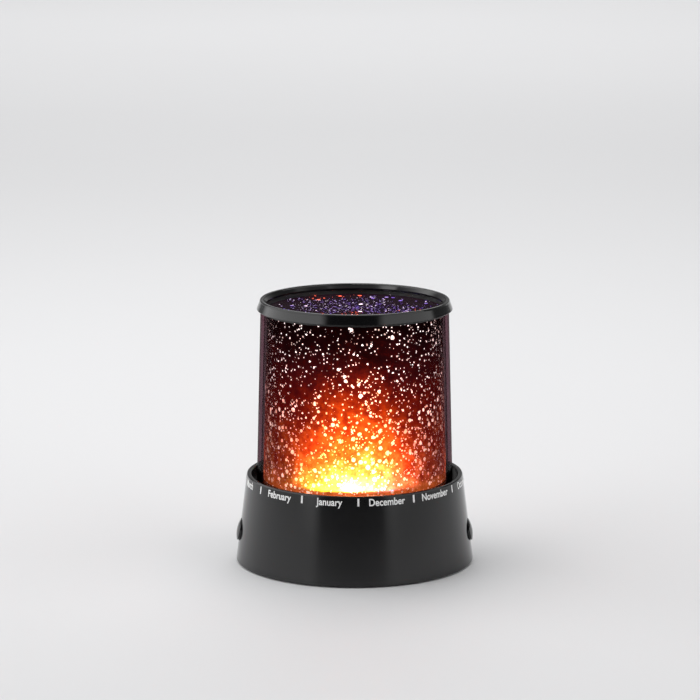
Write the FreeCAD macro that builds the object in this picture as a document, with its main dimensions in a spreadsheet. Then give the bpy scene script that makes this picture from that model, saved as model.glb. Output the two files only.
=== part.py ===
# Star projector night lamp: a black conical base holds three cells, a motor and the lights,
# a clear drum wrapped in star film turns on the base, and a clear shade lifts off over it.
# The frame: +Z up, the origin on the table under the middle of the base, -Y is the front.

import FreeCAD, Part
import math
import os
import re
import Sketcher

# Driving sizes in millimetres. Each is set on its own and written once.
SIZES = {
    # base housing
    "base_bottom_radius": 55.0,
    "base_flare": 5.1,
    "base_height": 41.0,
    "base_wall": 2.2,
    "rim_wall": 2.2,
    "rim_round": 0.7,
    "trough_depth": 6.0,
    "trough_gap": 2.4,
    "deck_thickness": 2.0,
    "wire_hole_radius": 5.0,
    # drum seat on the deck
    "guide_gap": 0.35,
    "guide_rise": 3.2,
    "guide_wall": 1.6,
    "seat_inset": 3.75,
    "seat_wall": 1.6,
    "ledge_reach": 2.2,
    "ledge_rise": 3.8,
    # bosses and cover screws
    "boss_inset": 8.0,
    "boss_radius": 3.0,
    "pilot_radius": 1.1,
    "pilot_depth": 9.0,
    # bottom cover and feet
    "foot_lift": 0.8,
    "foot_radius": 4.5,
    "foot_recess": 0.5,
    "foot_inset": 13.0,
    "cover_inset": 0.2,
    "cover_thickness": 2.0,
    "cover_gap": 0.3,
    "bay_wall": 1.6,
    "screw_hole_radius": 1.3,
    "counterbore_radius": 2.4,
    "counterbore_depth": 1.0,
    # battery cells and their contacts
    "cell_radius": 7.2,
    "cell_length": 49.3,
    "cell_nub_radius": 2.6,
    "cell_nub_height": 1.2,
    "cell_pitch": 15.0,
    "cell_clearance": 0.3,
    "contact_thickness": 0.4,
    "contact_width": 8.0,
    "contact_height": 9.0,
    "contact_tab_width": 2.4,
    "contact_tab_reach": 1.6,
    "contact_spring_length": 4.4,
    "contact_spring_radius": 3.2,
    "contact_wire_radius": 0.35,
    # battery door
    "door_overlap": 1.4,
    "door_gap": 0.3,
    "door_thickness": 1.8,
    "door_tab_width": 4.6,
    "door_tab_length": 2.9,
    "door_tab_thickness": 0.8,
    "door_tab_lift": 0.35,
    "latch_width": 9.0,
    "latch_height": 2.8,
    "latch_thickness": 0.9,
    "grip_groove_depth": 0.5,
    "grip_groove_width": 1.0,
    "grip_groove_pitch": 2.2,
    "foam_thickness": 0.25,
    # push buttons and their switches
    "button_height": 14.7,
    "button_hole_radius": 5.3,
    "button_gap": 0.3,
    "button_edge_proud": 0.6,
    "button_dome_proud": 1.5,
    "button_flange_radius": 6.0,
    "button_flange_thickness": 1.1,
    "button_flange_depth": 3.3,
    "button_travel": 1.5,
    "stem_radius": 1.6,
    "stem_length": 1.2,
    "plunger_radius": 1.7,
    "plunger_length": 2.6,
    "collar_bore_radius": 6.4,
    "collar_wall": 1.2,
    "collar_start_depth": 1.8,
    "collar_length": 9.2,
    "switch_side": 6.2,
    "switch_height": 3.7,
    "switch_board_thickness": 1.2,
    # power inlet
    "jack_height": 12.0,
    "jack_width": 9.0,
    "jack_tall": 11.0,
    "jack_depth": 13.0,
    "jack_inset": 5.0,
    "jack_boss_radius": 3.9,
    "jack_boss_length": 2.4,
    "jack_hole_gap": 0.3,
    "jack_bore_radius": 1.9,
    "jack_bore_depth": 9.5,
    "jack_pin_radius": 0.65,
    # motor under the deck
    "motor_radius": 12.1,
    "motor_length": 12.3,
    "motor_shell": 0.8,
    "motor_boss_radius": 3.1,
    "motor_boss_height": 1.2,
    "motor_screw_offset": 8.0,
    "motor_cap_thickness": 1.6,
    "armature_radius": 9.6,
    "armature_gap": 1.4,
    "shaft_radius": 1.0,
    "shaft_gap": 0.05,
    # gear train
    "motor_module": 0.6,
    "gear_lift": 0.6,
    "gear_width": 2.4,
    "pinion_width": 5.2,
    "backlash": 0.16,
    "gear_pin_radius": 1.0,
    "pin_clip_radius": 2.2,
    "pin_clip_thickness": 0.6,
    "end_play": 0.3,
    # star drum and the film on it
    "flange_gap": 0.4,
    "flange_reach": 3.0,
    "flange_thickness": 1.4,
    "flange_play": 0.3,
    "float_gap": 0.2,
    "ring_rim": 2.8,
    "drum_gear_height": 4.5,
    "drum_gap": 1.15,
    "drum_wall": 1.2,
    "drum_skirt_gap": 0.4,
    "drum_top_thickness": 1.2,
    "film_thickness": 0.35,
    "film_inset": 0.2,
    "retainer_gap": 0.5,
    "retainer_thickness": 1.2,
    "retainer_skirt": 0.55,
    "retainer_grip": 2.4,
    "retainer_fit": 0.05,
    # light turret
    "turret_flange_radius": 13.5,
    "turret_flange_thickness": 1.5,
    "turret_radius": 7.4,
    "turret_height": 8.0,
    "turret_plate_radius": 15.0,
    "turret_plate_thickness": 1.2,
    "turret_screw_circle": 10.4,
    "led_board_radius": 16.0,
    "led_board_thickness": 1.2,
    "led_circle_radius": 9.0,
    "led_radius": 2.5,
    "led_flange_radius": 2.9,
    "led_flange_thickness": 1.0,
    "led_height": 8.6,
    "lead_radius": 0.3,
    "lead_length": 2.4,
    "lead_spacing": 1.27,
    # control board under the deck
    "board_length": 44.0,
    "board_width": 26.0,
    "board_thickness": 1.6,
    "board_drop": 7.4,
    "board_centre_x": -22.0,
    "board_centre_y": -2.0,
    "board_post_radius": 2.4,
    "board_margin": 3.4,
    "chip_length": 10.0,
    "chip_width": 6.0,
    "chip_height": 1.8,
    "capacitor_radius": 2.5,
    "capacitor_height": 6.0,
    # small screws
    "small_screw_radius": 0.8,
    "small_head_radius": 1.6,
    "small_head_height": 1.1,
    "small_screw_length": 4.0,
    "cover_screw_radius": 1.1,
    "cover_head_radius": 2.1,
    "cover_head_height": 1.3,
    "cover_screw_length": 8.0,
    # shade
    "overall_height": 122.3,
    "sleeve_draw": 2.15,
    "sleeve_wall": 1.8,
    "film_window_gap": 0.95,
    "cap_web": 2.9,
    "cap_skirt": 1.9,
    "cap_fit_gap": 0.15,
    "cap_overhang": 1.7,
    "cap_edge_round": 0.3,
    "cap_shoulder_inset": 1.3,
    "cap_round": 0.9,
    "cap_crown_width": 3.15,
    "cap_mouth_round": 0.8,
    "cap_lip_reach": 1.1,
    "cap_lip_drop": 2.1,
    "window_gap": 0.15,
    "window_thickness": 0.8,
    # wiring
    "wire_radius": 0.5,
    "wire_bend": 2.5,
    # one overrun serves every cut that passes through a wall
    "overrun": 3.0,
    # angles in degrees, about +Z from +X unless they are named as a tilt
    "left_azimuth": 185.0,
    "right_azimuth": 355.0,
    "back_azimuth": 106.0,
    "jack_azimuth": 74.0,
    "button_tilt": 12.0,
    "boss_azimuth": 40.0,
    "gear_azimuth": 90.0,
    "motor_swing": 70.0,
}

# Counts and pure angles that no length follows
RING_TEETH = 60
SMALL_PINION_TEETH = 12
LARGE_GEAR_TEETH = 30
MOTOR_PINION_TEETH = 12
PRESSURE_ANGLE = math.radians(20)
FLANK_STEPS = 5
CELLS = (-1, 0, 1)
# Cells joined by a plate and the end it stands at, then the two ends of the row: 1 is the back
LINKS = ((-1, 0, -1), (0, 1, 1))
TERMINALS = ((-1, 1), (1, -1))
FEET = 4
SPRING_TURNS = 3
# An arc over exactly half a turn needs a radius a hair over half its chord
ARC_MARGIN_SHARE = 1.0000001

# Sizes that follow from the driving ones
DERIVED = {
    "cone_slope": "base_flare / base_height",
    "base_rim_radius": "base_bottom_radius - base_flare",
    "boss_circle_radius": "base_bottom_radius - boss_inset",
    "foot_circle_radius": "base_bottom_radius - foot_inset",
    "jack_front_radius": "base_bottom_radius - jack_inset",
    "deck_top": "base_height - trough_depth",
    "deck_under": "deck_top - deck_thickness",
    "trough_radius": "base_rim_radius - rim_wall",
    "sleeve_bottom_radius": "trough_radius - trough_gap",
    "sleeve_top_radius": "sleeve_bottom_radius - sleeve_draw",
    "guide_radius": "sleeve_bottom_radius - sleeve_wall - guide_gap",
    "guide_top": "deck_top + guide_rise",
    "seat_outer_radius": "guide_radius - guide_wall - seat_inset",
    "seat_bore_radius": "seat_outer_radius - seat_wall",
    "seat_ledge_radius": "seat_bore_radius - ledge_reach",
    "flange_outer_radius": "seat_bore_radius - flange_gap",
    "drum_gear_radius": "flange_outer_radius - flange_reach",
    "retainer_bore_radius": "drum_gear_radius + retainer_gap",
    "ledge_top": "deck_top + ledge_rise",
    "seat_top": "ledge_top + float_gap + flange_thickness + flange_play",
    "cover_low": "foot_lift + cover_inset",
    "cover_top": "cover_low + cover_thickness",
    "cover_radius": "base_bottom_radius - cone_slope * cover_top - base_wall - cover_gap",
    "bay_half_width": "1.5 * cell_pitch + cell_clearance",
    "cell_end_room": "contact_thickness + contact_spring_length",
    "bay_half_length": "(cell_length + cell_nub_height + contact_thickness + cell_end_room) / 2",
    "door_top": "cover_low + door_thickness",
    "cell_axis_height": "cover_top + cell_clearance + cell_radius",
    "bay_ceiling": "cell_axis_height + cell_radius + cell_clearance",
    "opening_half_width": "bay_half_width + door_overlap",
    "opening_half_length": "bay_half_length + door_overlap",
    "door_half_width": "opening_half_width - door_gap",
    "door_half_length": "opening_half_length - door_gap",
    "hinge_radius": "door_thickness / 2",
    "hinge_y": "-door_half_length + hinge_radius",
    "hinge_z": "cover_low + hinge_radius",
    "collar_outer_radius": "collar_bore_radius + collar_wall",
    "collar_end": "collar_start_depth + collar_length",
    "cap_radius": "button_hole_radius - button_gap",
    "stem_end": "button_flange_depth + button_flange_thickness + stem_length",
    "switch_front": "collar_end - switch_height",
    "ring_pitch_radius": "drum_gear_radius - ring_rim",
    "ring_module": f"2 * ring_pitch_radius / {RING_TEETH}",
    "small_pinion_pitch_radius": f"ring_module * {SMALL_PINION_TEETH} / 2",
    "gear_centre_radius": "ring_pitch_radius - small_pinion_pitch_radius",
    "large_gear_pitch_radius": f"motor_module * {LARGE_GEAR_TEETH} / 2",
    "motor_pinion_pitch_radius": f"motor_module * {MOTOR_PINION_TEETH} / 2",
    "motor_centres": "large_gear_pitch_radius + motor_pinion_pitch_radius",
    "gear_x": "gear_centre_radius * cos(gear_azimuth)",
    "gear_y": "gear_centre_radius * sin(gear_azimuth)",
    "motor_direction": "gear_azimuth + 180 + motor_swing",
    "motor_x": "gear_x + motor_centres * cos(motor_direction)",
    "motor_y": "gear_y + motor_centres * sin(motor_direction)",
    "gear_low": "deck_top + gear_lift",
    "pinion_low": "gear_low + gear_width",
    "pinion_top": "pinion_low + pinion_width",
    "motor_low": "deck_under - motor_length",
    "drum_gear_low": "ledge_top + float_gap",
    "drum_gear_top": "drum_gear_low + drum_gear_height",
    "drum_low": "guide_top + drum_skirt_gap",
    "retainer_top": "seat_top + retainer_thickness",
    "retainer_outer_radius": "seat_outer_radius + retainer_fit + retainer_skirt",
    "turret_top": "deck_top + turret_height",
    "led_board_low": "turret_top + turret_plate_thickness",
    "led_board_top": "led_board_low + led_board_thickness",
    "board_top": "deck_under - board_drop",
    "board_low": "board_top - board_thickness",
    "sleeve_top": "overall_height - cap_web",
    "cap_widest_radius": "sleeve_top_radius + cap_overhang",
    "cap_shoulder_radius": "cap_widest_radius - cap_shoulder_inset",
    "cap_mouth_radius": "cap_widest_radius - cap_crown_width",
    "cap_lip_radius": "cap_mouth_radius - cap_lip_reach",
    "sleeve_slope": "(sleeve_bottom_radius - sleeve_top_radius) / (sleeve_top - deck_top)",
    "window_low": "sleeve_top - window_thickness",
    "drum_top": "window_low - film_window_gap - film_thickness",
    "film_low": "drum_low + film_inset",
    "film_high": "drum_top - film_inset",
    "jack_low": "jack_height - jack_tall / 2",
}

WORD = re.compile(r"[a-z][a-z_]*")
NODES = {}
WIRE_SHARES = []
DOC = FreeCAD.newDocument("StarProjector")
SHEET = DOC.addObject("Spreadsheet::Sheet", "Sizes")


def fill_sheet():
    """Writes the driving sizes to the sheet, one row each, with the name as alias."""
    for row, (name, value) in enumerate(SIZES.items(), 1):
        SHEET.set(f"A{row}", name)
        SHEET.set(f"B{row}", str(value))
        SHEET.setAlias(f"B{row}", name)
    DOC.recompute()


def bind(text):
    """An expression in the sizes' plain names, rewritten to read the sheet."""

    def swap(found):
        word = found.group()
        if word in SIZES:
            return "Sizes." + word
        if word in DERIVED:
            return "(" + bind(DERIVED[word]) + ")"
        return word

    return WORD.sub(swap, text)


def size(text):
    """The present value of such an expression."""
    return float(SHEET.evalExpression(bind(text)))


def tie(thing, name, text):
    """Ties a property to an expression in the sizes."""
    thing.setExpression(name, bind(text))


def cone_radius(height):
    """Outer radius of the base at a height."""
    return f"(base_bottom_radius - cone_slope * ({height}))"


def sleeve_radius(height):
    """Outer radius of the clear sleeve at a height."""
    return f"(sleeve_bottom_radius - sleeve_slope * (({height}) - deck_top))"


def film_radius(height):
    """Outer radius of the film round the drum, which keeps one gap to the sleeve."""
    return f"({sleeve_radius(height)} - sleeve_wall - drum_gap)"


def drum_radius(height):
    """Outer radius of the clear drum under the film."""
    return f"({film_radius(height)} - film_thickness)"


def keep(label, thing):
    """Names a finished sub-part."""
    thing.Label = label
    NODES[label] = thing
    return thing


# Sketches and solids

def arc_between(start, end, radius, turn):
    """The short arc from start to end; turn is 1 for counter-clockwise and -1 for clockwise."""
    middle = (start + end) / 2
    half = (end - start) / 2
    side = FreeCAD.Vector(-half.y, half.x, 0).normalize()
    rise = math.sqrt(max(radius**2 - half.Length**2, 0))
    centre = middle + side * rise * turn
    first, last = (start, end) if turn > 0 else (end, start)
    angles = [math.atan2(p.y - centre.y, p.x - centre.x) for p in (first, last)]
    circle = Part.Circle(centre, FreeCAD.Vector(0, 0, 1), radius)
    return Part.ArcOfCircle(circle, angles[0], angles[1])


def draw(sketch, outline):
    """Draws a closed outline. A corner is (x, y), or (x, y, radius, turn) where an arc leaves it."""
    corners = [FreeCAD.Vector(size(c[0]), size(c[1]), 0) for c in outline]
    starts = []
    for index, corner in enumerate(outline):
        start, end = corners[index], corners[(index + 1) % len(corners)]
        if len(corner) > 2:
            piece = arc_between(start, end, size(corner[2]), corner[3])
        else:
            piece = Part.LineSegment(start, end)
        sketch.addGeometry(piece, False)
        starts.append(2 if len(corner) > 2 and corner[3] < 0 else 1)
    for index, corner in enumerate(outline):
        following = (index + 1) % len(outline)
        sketch.addConstraint(Sketcher.Constraint(
            "Coincident", index, 3 - starts[index], following, starts[following]))
    for index, corner in enumerate(outline):
        for kind, text in zip(("DistanceX", "DistanceY"), corner[:2]):
            number = sketch.addConstraint(Sketcher.Constraint(
                kind, -1, 1, index, starts[index], size(text)))
            tie(sketch, f"Constraints[{number}]", text)
        if len(corner) > 2:
            number = sketch.addConstraint(Sketcher.Constraint("Radius", index, size(corner[2])))
            tie(sketch, f"Constraints[{number}]", corner[2])


def sketch_on(body, plane):
    """An empty sketch on one of the body's own planes."""
    sketch = body.newObject("Sketcher::SketchObject", "Outline")
    planes = {feature.Role: feature for feature in body.Origin.OriginFeatures}
    sketch.AttachmentSupport = [(planes[plane], "")]
    sketch.MapMode = "FlatFace"
    return sketch


def turned(outline):
    """A body of revolution about Z. The outline's corners are (radius, height)."""
    body = DOC.addObject("PartDesign::Body", "Turned")
    sketch = sketch_on(body, "XZ_Plane")
    draw(sketch, outline)
    feature = body.newObject("PartDesign::Revolution", "Revolution")
    feature.Profile = sketch
    feature.ReferenceAxis = (sketch, ["V_Axis"])
    feature.Angle = 360
    return body


def padded_across(outline, width):
    """A body with its outline in Y and Z, and half its width on each side of X = 0."""
    body = DOC.addObject("PartDesign::Body", "Padded")
    sketch = sketch_on(body, "YZ_Plane")
    draw(sketch, outline)
    feature = body.newObject("PartDesign::Pad", "Pad")
    feature.Profile = sketch
    feature.Midplane = True
    tie(feature, "Length", width)
    return body


def cylinder(radius, low, high, x="0", y="0"):
    """An upright cylinder between two heights."""
    piece = DOC.addObject("Part::Cylinder", "Cylinder")
    tie(piece, "Radius", radius)
    tie(piece, "Height", f"({high}) - ({low})")
    tie(piece, "Placement.Base.x", x)
    tie(piece, "Placement.Base.y", y)
    tie(piece, "Placement.Base.z", low)
    return piece


def block(x_span, y_span, z_span):
    """A box given by its low and high value along each axis."""
    piece = DOC.addObject("Part::Box", "Block")
    for axis, side, (low, high) in zip("xyz", ("Length", "Width", "Height"), (x_span, y_span, z_span)):
        tie(piece, side, f"({high}) - ({low})")
        tie(piece, f"Placement.Base.{axis}", low)
    return piece


def centred(half):
    """The span from minus half to plus half."""
    return (f"-({half})", half)


def joined(*pieces):
    """Pieces fused into one solid."""
    fused = DOC.addObject("Part::MultiFuse", "Joined")
    fused.Shapes = list(pieces)
    fused.Refine = True
    return fused


def grouped(*pieces):
    """Separate solids kept together as one sub-part."""
    group = DOC.addObject("Part::Compound", "Group")
    group.Links = list(pieces)
    return group


def cut(base, *tools):
    """The base with each tool taken away."""
    result = DOC.addObject("Part::Cut", "Cut")
    result.Base = base
    result.Tool = tools[0] if len(tools) == 1 else joined(*tools)
    result.Refine = True
    return result


def shape_feature(shape):
    """A shape worked out from the sizes where no feature makes it."""
    feature = DOC.addObject("Part::Feature", "Shape")
    feature.Shape = shape
    return feature


def outward(azimuth, radius, height, tilt="0"):
    """A placement at a radius and height, turned about Z, with the piece's own Z pointing outward and up."""
    return (f"placement(vector(0; 0; 0); rotation(vector(0; 0; 1); {azimuth})) * "
            f"placement(vector({radius}; 0; {height}); rotation(vector(0; 1; 0); 90 - ({tilt})))")


def placed(piece, where):
    """Moves a piece to a placement that follows the sizes."""
    tie(piece, "Placement", where)
    return piece


# Gears

def toothed_face(teeth, module, root, tip, tooth, phase):
    """A flat face with involute teeth standing outward; tooth is its width on the pitch circle."""
    pitch = module * teeth / 2
    base = pitch * math.cos(PRESSURE_ANGLE)

    def half_angle(radius):
        slope = math.acos(min(base / max(radius, base), 1))
        roll = math.tan(slope) - slope
        at_pitch = math.tan(PRESSURE_ANGLE) - PRESSURE_ANGLE
        return tooth / (2 * pitch) + at_pitch - roll

    def point(radius, angle):
        return FreeCAD.Vector(radius * math.cos(angle), radius * math.sin(angle), 0)

    flank_start = max(base, root)
    radii = [flank_start + (tip - flank_start) * step / FLANK_STEPS for step in range(FLANK_STEPS + 1)]
    edges = []
    for number in range(teeth):
        middle = phase + 2 * math.pi * number / teeth
        following = middle + 2 * math.pi / teeth
        low = half_angle(root)
        rising = [point(r, middle - half_angle(r)) for r in radii]
        falling = [point(r, middle + half_angle(r)) for r in reversed(radii)]
        if flank_start > root:
            edges.append(Part.LineSegment(point(root, middle - low), rising[0]).toShape())
        for flank in (rising, falling):
            curve = Part.BSplineCurve()
            curve.interpolate(flank)
            if flank is falling:
                edges.append(Part.Arc(rising[-1], point(tip, middle), falling[0]).toShape())
            edges.append(curve.toShape())
        if flank_start > root:
            edges.append(Part.LineSegment(falling[-1], point(root, middle + low)).toShape())
        half_way = point(root, (middle + following) / 2)
        edges.append(Part.Arc(point(root, middle + low), half_way, point(root, following - low)).toShape())
    return Part.Face(Part.Wire(edges))


def toothed_wheel(teeth, module_name, root, tip, play, phase_degrees, low, high):
    """Teeth between two heights, as a shape worked out from the sizes."""
    module = size(module_name)
    face = toothed_face(teeth, module, size(root), size(tip),
                        math.pi * module / 2 + size(play), math.radians(phase_degrees))
    face.translate(FreeCAD.Vector(0, 0, size(low)))
    return shape_feature(face.extrude(FreeCAD.Vector(0, 0, size(f"({high}) - ({low})"))))


# Base

def button_frame(side):
    """Where a button's axis crosses the cone, looking outward along it."""
    return outward(f"{side}_azimuth", cone_radius("button_height"), "button_height", "button_tilt")


def base_shell():
    """The cone, its rim, the trough for the shade, the deck and the round seat for the drum."""
    return turned([
        (cone_radius("foot_lift"), "foot_lift"),
        ("base_rim_radius", "base_height - rim_round", "rim_round", 1),
        ("base_rim_radius - rim_round", "base_height"),
        ("trough_radius + rim_round", "base_height", "rim_round", 1),
        ("trough_radius", "base_height - rim_round"),
        ("trough_radius", "deck_top"),
        ("guide_radius", "deck_top"),
        ("guide_radius", "guide_top"),
        ("guide_radius - guide_wall", "guide_top"),
        ("guide_radius - guide_wall", "deck_top"),
        ("seat_outer_radius", "deck_top"),
        ("seat_outer_radius", "seat_top"),
        ("seat_bore_radius", "seat_top"),
        ("seat_bore_radius", "ledge_top"),
        ("seat_ledge_radius", "ledge_top"),
        ("seat_ledge_radius", "deck_top"),
        ("wire_hole_radius", "deck_top"),
        ("wire_hole_radius", "deck_under"),
        (cone_radius("deck_under") + " - base_wall", "deck_under"),
        (cone_radius("foot_lift") + " - base_wall", "foot_lift"),
    ])


def boss_places():
    """The four cover screws, two each side of the front-to-back line."""
    for azimuth in ("boss_azimuth", "180 - boss_azimuth", "180 + boss_azimuth", "360 - boss_azimuth"):
        yield f"boss_circle_radius * cos({azimuth})", f"boss_circle_radius * sin({azimuth})"


def board_posts():
    """The two posts at opposite corners of the control board."""
    across, along = "board_width / 2 - board_margin", "board_length / 2 - board_margin"
    yield f"board_centre_x - ({across})", f"board_centre_y + ({along})"
    yield f"board_centre_x + ({across})", f"board_centre_y - ({along})"


def motor_screw_places():
    """Either side of the motor shaft, square to the line towards the gear."""
    for sign in ("+", "-"):
        yield (f"motor_x {sign} motor_screw_offset * cos(motor_direction + 90)",
               f"motor_y {sign} motor_screw_offset * sin(motor_direction + 90)")


def turret_screw_places():
    """Left and right of the turret."""
    for sign in ("", "-"):
        yield f"{sign}turret_screw_circle", "0"


def make_base_housing():
    solids = [base_shell()]
    cuts = []
    for x, y in boss_places():
        solids.append(cylinder("boss_radius", "cover_top", "deck_under + deck_thickness / 2", x, y))
        cuts.append(cylinder("pilot_radius", "cover_top - overrun", "cover_top + pilot_depth", x, y))
    for x, y in board_posts():
        solids.append(cylinder("board_post_radius", "board_top", "deck_under + deck_thickness / 2", x, y))
        cuts.append(cylinder("small_screw_radius", "board_top - overrun", "board_top + small_screw_length", x, y))
    for side in ("left", "right", "back"):
        collar = cylinder("collar_outer_radius", "-collar_end", "-collar_start_depth")
        solids.append(placed(grouped(collar), button_frame(side)))
        hole = cylinder("button_hole_radius", "-collar_end", "overrun")
        well = cylinder("collar_bore_radius", "-(collar_end + overrun)", "-(button_flange_depth - button_gap)")
        cuts.append(placed(joined(hole, well), button_frame(side)))
    jack_hole = cylinder("jack_boss_radius + jack_hole_gap", "-overrun", "2 * overrun")
    cuts.append(placed(grouped(jack_hole), outward("jack_azimuth", "jack_front_radius", "jack_height")))
    cuts.append(cylinder("motor_boss_radius + button_gap", "deck_under - overrun", "deck_top + overrun",
                         "motor_x", "motor_y"))
    cuts.append(cylinder("gear_pin_radius", "deck_under - overrun", "deck_top + overrun", "gear_x", "gear_y"))
    for x, y in (*motor_screw_places(), *turret_screw_places()):
        cuts.append(cylinder("small_screw_radius", "deck_under - overrun", "deck_top + overrun", x, y))
    keep("base_housing", cut(joined(*solids), *cuts))


def foot_places():
    for number in range(FEET):
        azimuth = f"{360 * number / FEET}"
        yield f"foot_circle_radius * cos({azimuth})", f"foot_circle_radius * sin({azimuth})"


def tab_spans():
    """Across the door, between the cells, where its two hooks stand."""
    for sign in ("-", ""):
        middle = f"{sign}cell_pitch / 2"
        yield middle, (f"{middle} - door_tab_width / 2", f"{middle} + door_tab_width / 2")


def make_bottom_cover():
    plate = cylinder("cover_radius", "cover_low", "cover_top")
    bay = block(centred("opening_half_width + bay_wall"), centred("opening_half_length + bay_wall"),
                ("cover_low", "bay_ceiling + bay_wall"))
    saddle = block(("jack_front_radius - jack_depth", "jack_front_radius"), centred("jack_width / 2"),
                   ("cover_low", "jack_low"))
    saddle = placed(grouped(saddle), "placement(vector(0; 0; 0); rotation(vector(0; 0; 1); jack_azimuth))")
    cuts = [
        block(centred("bay_half_width"), centred("bay_half_length"), ("cover_low", "bay_ceiling")),
        block(centred("opening_half_width"), centred("opening_half_length"),
              ("cover_low - overrun", "cover_top")),
    ]
    for middle, _ in tab_spans():
        half = "door_tab_width / 2 + door_gap"
        cuts.append(block((f"{middle} - ({half})", f"{middle} + ({half})"),
                          ("-(opening_half_length + door_tab_length + door_gap)", "-bay_half_length + overrun"),
                          ("cover_top", "cover_top + door_tab_length + 2 * door_tab_thickness")))
    cuts.append(block(centred("latch_width / 2 + door_gap"), ("bay_half_length - overrun", "opening_half_length"),
                      ("cover_low", "door_top + latch_height + door_gap")))
    for number, side in TERMINALS:
        faces = sorted([f"{side} * bay_half_length", f"{side} * (opening_half_length + bay_wall + overrun)"], key=size)
        cuts.append(block(tab_width(number), faces,
                          ("cell_axis_height - contact_thickness", "cell_axis_height + contact_thickness")))
    for x, y in boss_places():
        cuts.append(cylinder("screw_hole_radius", "cover_low - overrun", "cover_top + overrun", x, y))
        cuts.append(cylinder("counterbore_radius", "cover_low - overrun", "cover_low + counterbore_depth", x, y))
    for x, y in foot_places():
        cuts.append(cylinder("foot_radius", "cover_low - overrun", "cover_low + foot_recess", x, y))
    keep("bottom_cover", cut(joined(plate, bay, saddle), *cuts))


def make_feet():
    feet = [cylinder("foot_radius", "0", "cover_low + foot_recess", x, y) for x, y in foot_places()]
    keep("rubber_feet", grouped(*feet))


# Battery cells and door

def cell_direction(number):
    """Neighbouring cells point opposite ways: 1 has its nub at the back."""
    return -1 if number == 0 else 1


def tab_width(number):
    """Across the solder tab of an end terminal."""
    return (f"{number} * cell_pitch - contact_tab_width / 2", f"{number} * cell_pitch + contact_tab_width / 2")


def make_cells():
    for number in CELLS:
        turn = cell_direction(number)
        cell = turned([
            ("0", "0"),
            ("cell_radius", "0"),
            ("cell_radius", "cell_length"),
            ("cell_nub_radius", "cell_length"),
            ("cell_nub_radius", "cell_length + cell_nub_height"),
            ("0", "cell_length + cell_nub_height"),
        ])
        start = f"{turn} * (-bay_half_length + cell_end_room)"
        placed(cell, f"placement(vector({number} * cell_pitch; {start}; cell_axis_height); "
                     f"rotation(vector(1; 0; 0); {-90 * turn}))")
        keep(f"battery_cell_{number + 2}", cell)


def make_contacts():
    """Two plates each join a pair of cells, and two end plates carry the solder tabs."""
    half = "contact_width / 2"
    height = ("cell_axis_height - contact_height / 2", "cell_axis_height + contact_height / 2")
    plates = []
    for first, last, side in LINKS:
        faces = sorted([f"{side} * bay_half_length", f"{side} * (bay_half_length - contact_thickness)"], key=size)
        plates.append(block((f"{first} * cell_pitch - {half}", f"{last} * cell_pitch + {half}"), faces, height))
    for number, side in TERMINALS:
        faces = sorted([f"{side} * bay_half_length", f"{side} * (bay_half_length - contact_thickness)"], key=size)
        plate = block((f"{number} * cell_pitch - {half}", f"{number} * cell_pitch + {half}"), faces, height)
        tip = f"{side} * (opening_half_length + bay_wall + contact_tab_reach)"
        faces = sorted([f"{side} * (bay_half_length - contact_thickness)", tip], key=size)
        tab = block(tab_width(number), faces,
                    ("cell_axis_height - contact_thickness / 2", "cell_axis_height + contact_thickness / 2"))
        plates.append(joined(plate, tab))
    keep("battery_contacts", grouped(*plates))
    keep("battery_springs", grouped(*[contact_spring(number) for number in CELLS]))


def arc_from(start, tangent, end):
    """The arc that leaves start along a unit tangent and reaches end."""
    chord = end - start
    along = chord * (1 / chord.Length)
    aside = (tangent - along * tangent.dot(along)).normalize()
    rise = chord.Length / 2 * math.tan(tangent.getAngle(along) / 2)
    return Part.Arc(start, start + chord * 0.5 + aside * rise, end).toShape()


def coil_path(radius, travel, turns):
    """A helix about Z as pairs of tangent arcs, each pair a quarter turn."""
    climb = travel / (2 * math.pi * turns)
    steps = 4 * turns

    def point(step):
        angle = step * math.pi / 2
        return FreeCAD.Vector(radius * math.cos(angle), radius * math.sin(angle), climb * angle)

    def tangent(step):
        angle = step * math.pi / 2
        return FreeCAD.Vector(-radius * math.sin(angle), radius * math.cos(angle), climb).normalize()

    edges = []
    for step in range(steps):
        start, end = point(step), point(step + 1)
        leave, arrive = tangent(step), tangent(step + 1)
        span, both = end - start, leave + arrive
        bend = 2 * (1 - leave.dot(arrive))
        reach = (math.sqrt(span.dot(both) ** 2 + bend * span.dot(span)) - span.dot(both)) / bend
        joint = (start + leave * reach + end - arrive * reach) * 0.5
        way = (end - arrive * reach - start - leave * reach).normalize()
        edges.append(arc_from(start, leave, joint))
        edges.append(arc_from(joint, way, end))
    return edges


def contact_spring(number):
    """A coil of wire between a cell's flat end and its plate."""
    wire_size = size("contact_wire_radius")
    travel = size("contact_spring_length") - 2 * wire_size
    radius = size("contact_spring_radius")
    edges = coil_path(radius, travel, SPRING_TURNS)
    start = edges[0].Vertexes[0].Point
    ring = Part.Wire(Part.makeCircle(wire_size, start, edges[0].tangentAt(edges[0].FirstParameter)))
    coil = shape_feature(Part.Wire(edges).makePipeShell([ring], True, False))
    turn = cell_direction(number)
    foot = f"{turn} * (-bay_half_length + contact_thickness + contact_wire_radius)"
    return placed(coil, f"placement(vector({number} * cell_pitch; {foot}; cell_axis_height); "
                        f"rotation(vector(1; 0; 0); {-90 * turn}))")


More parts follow.
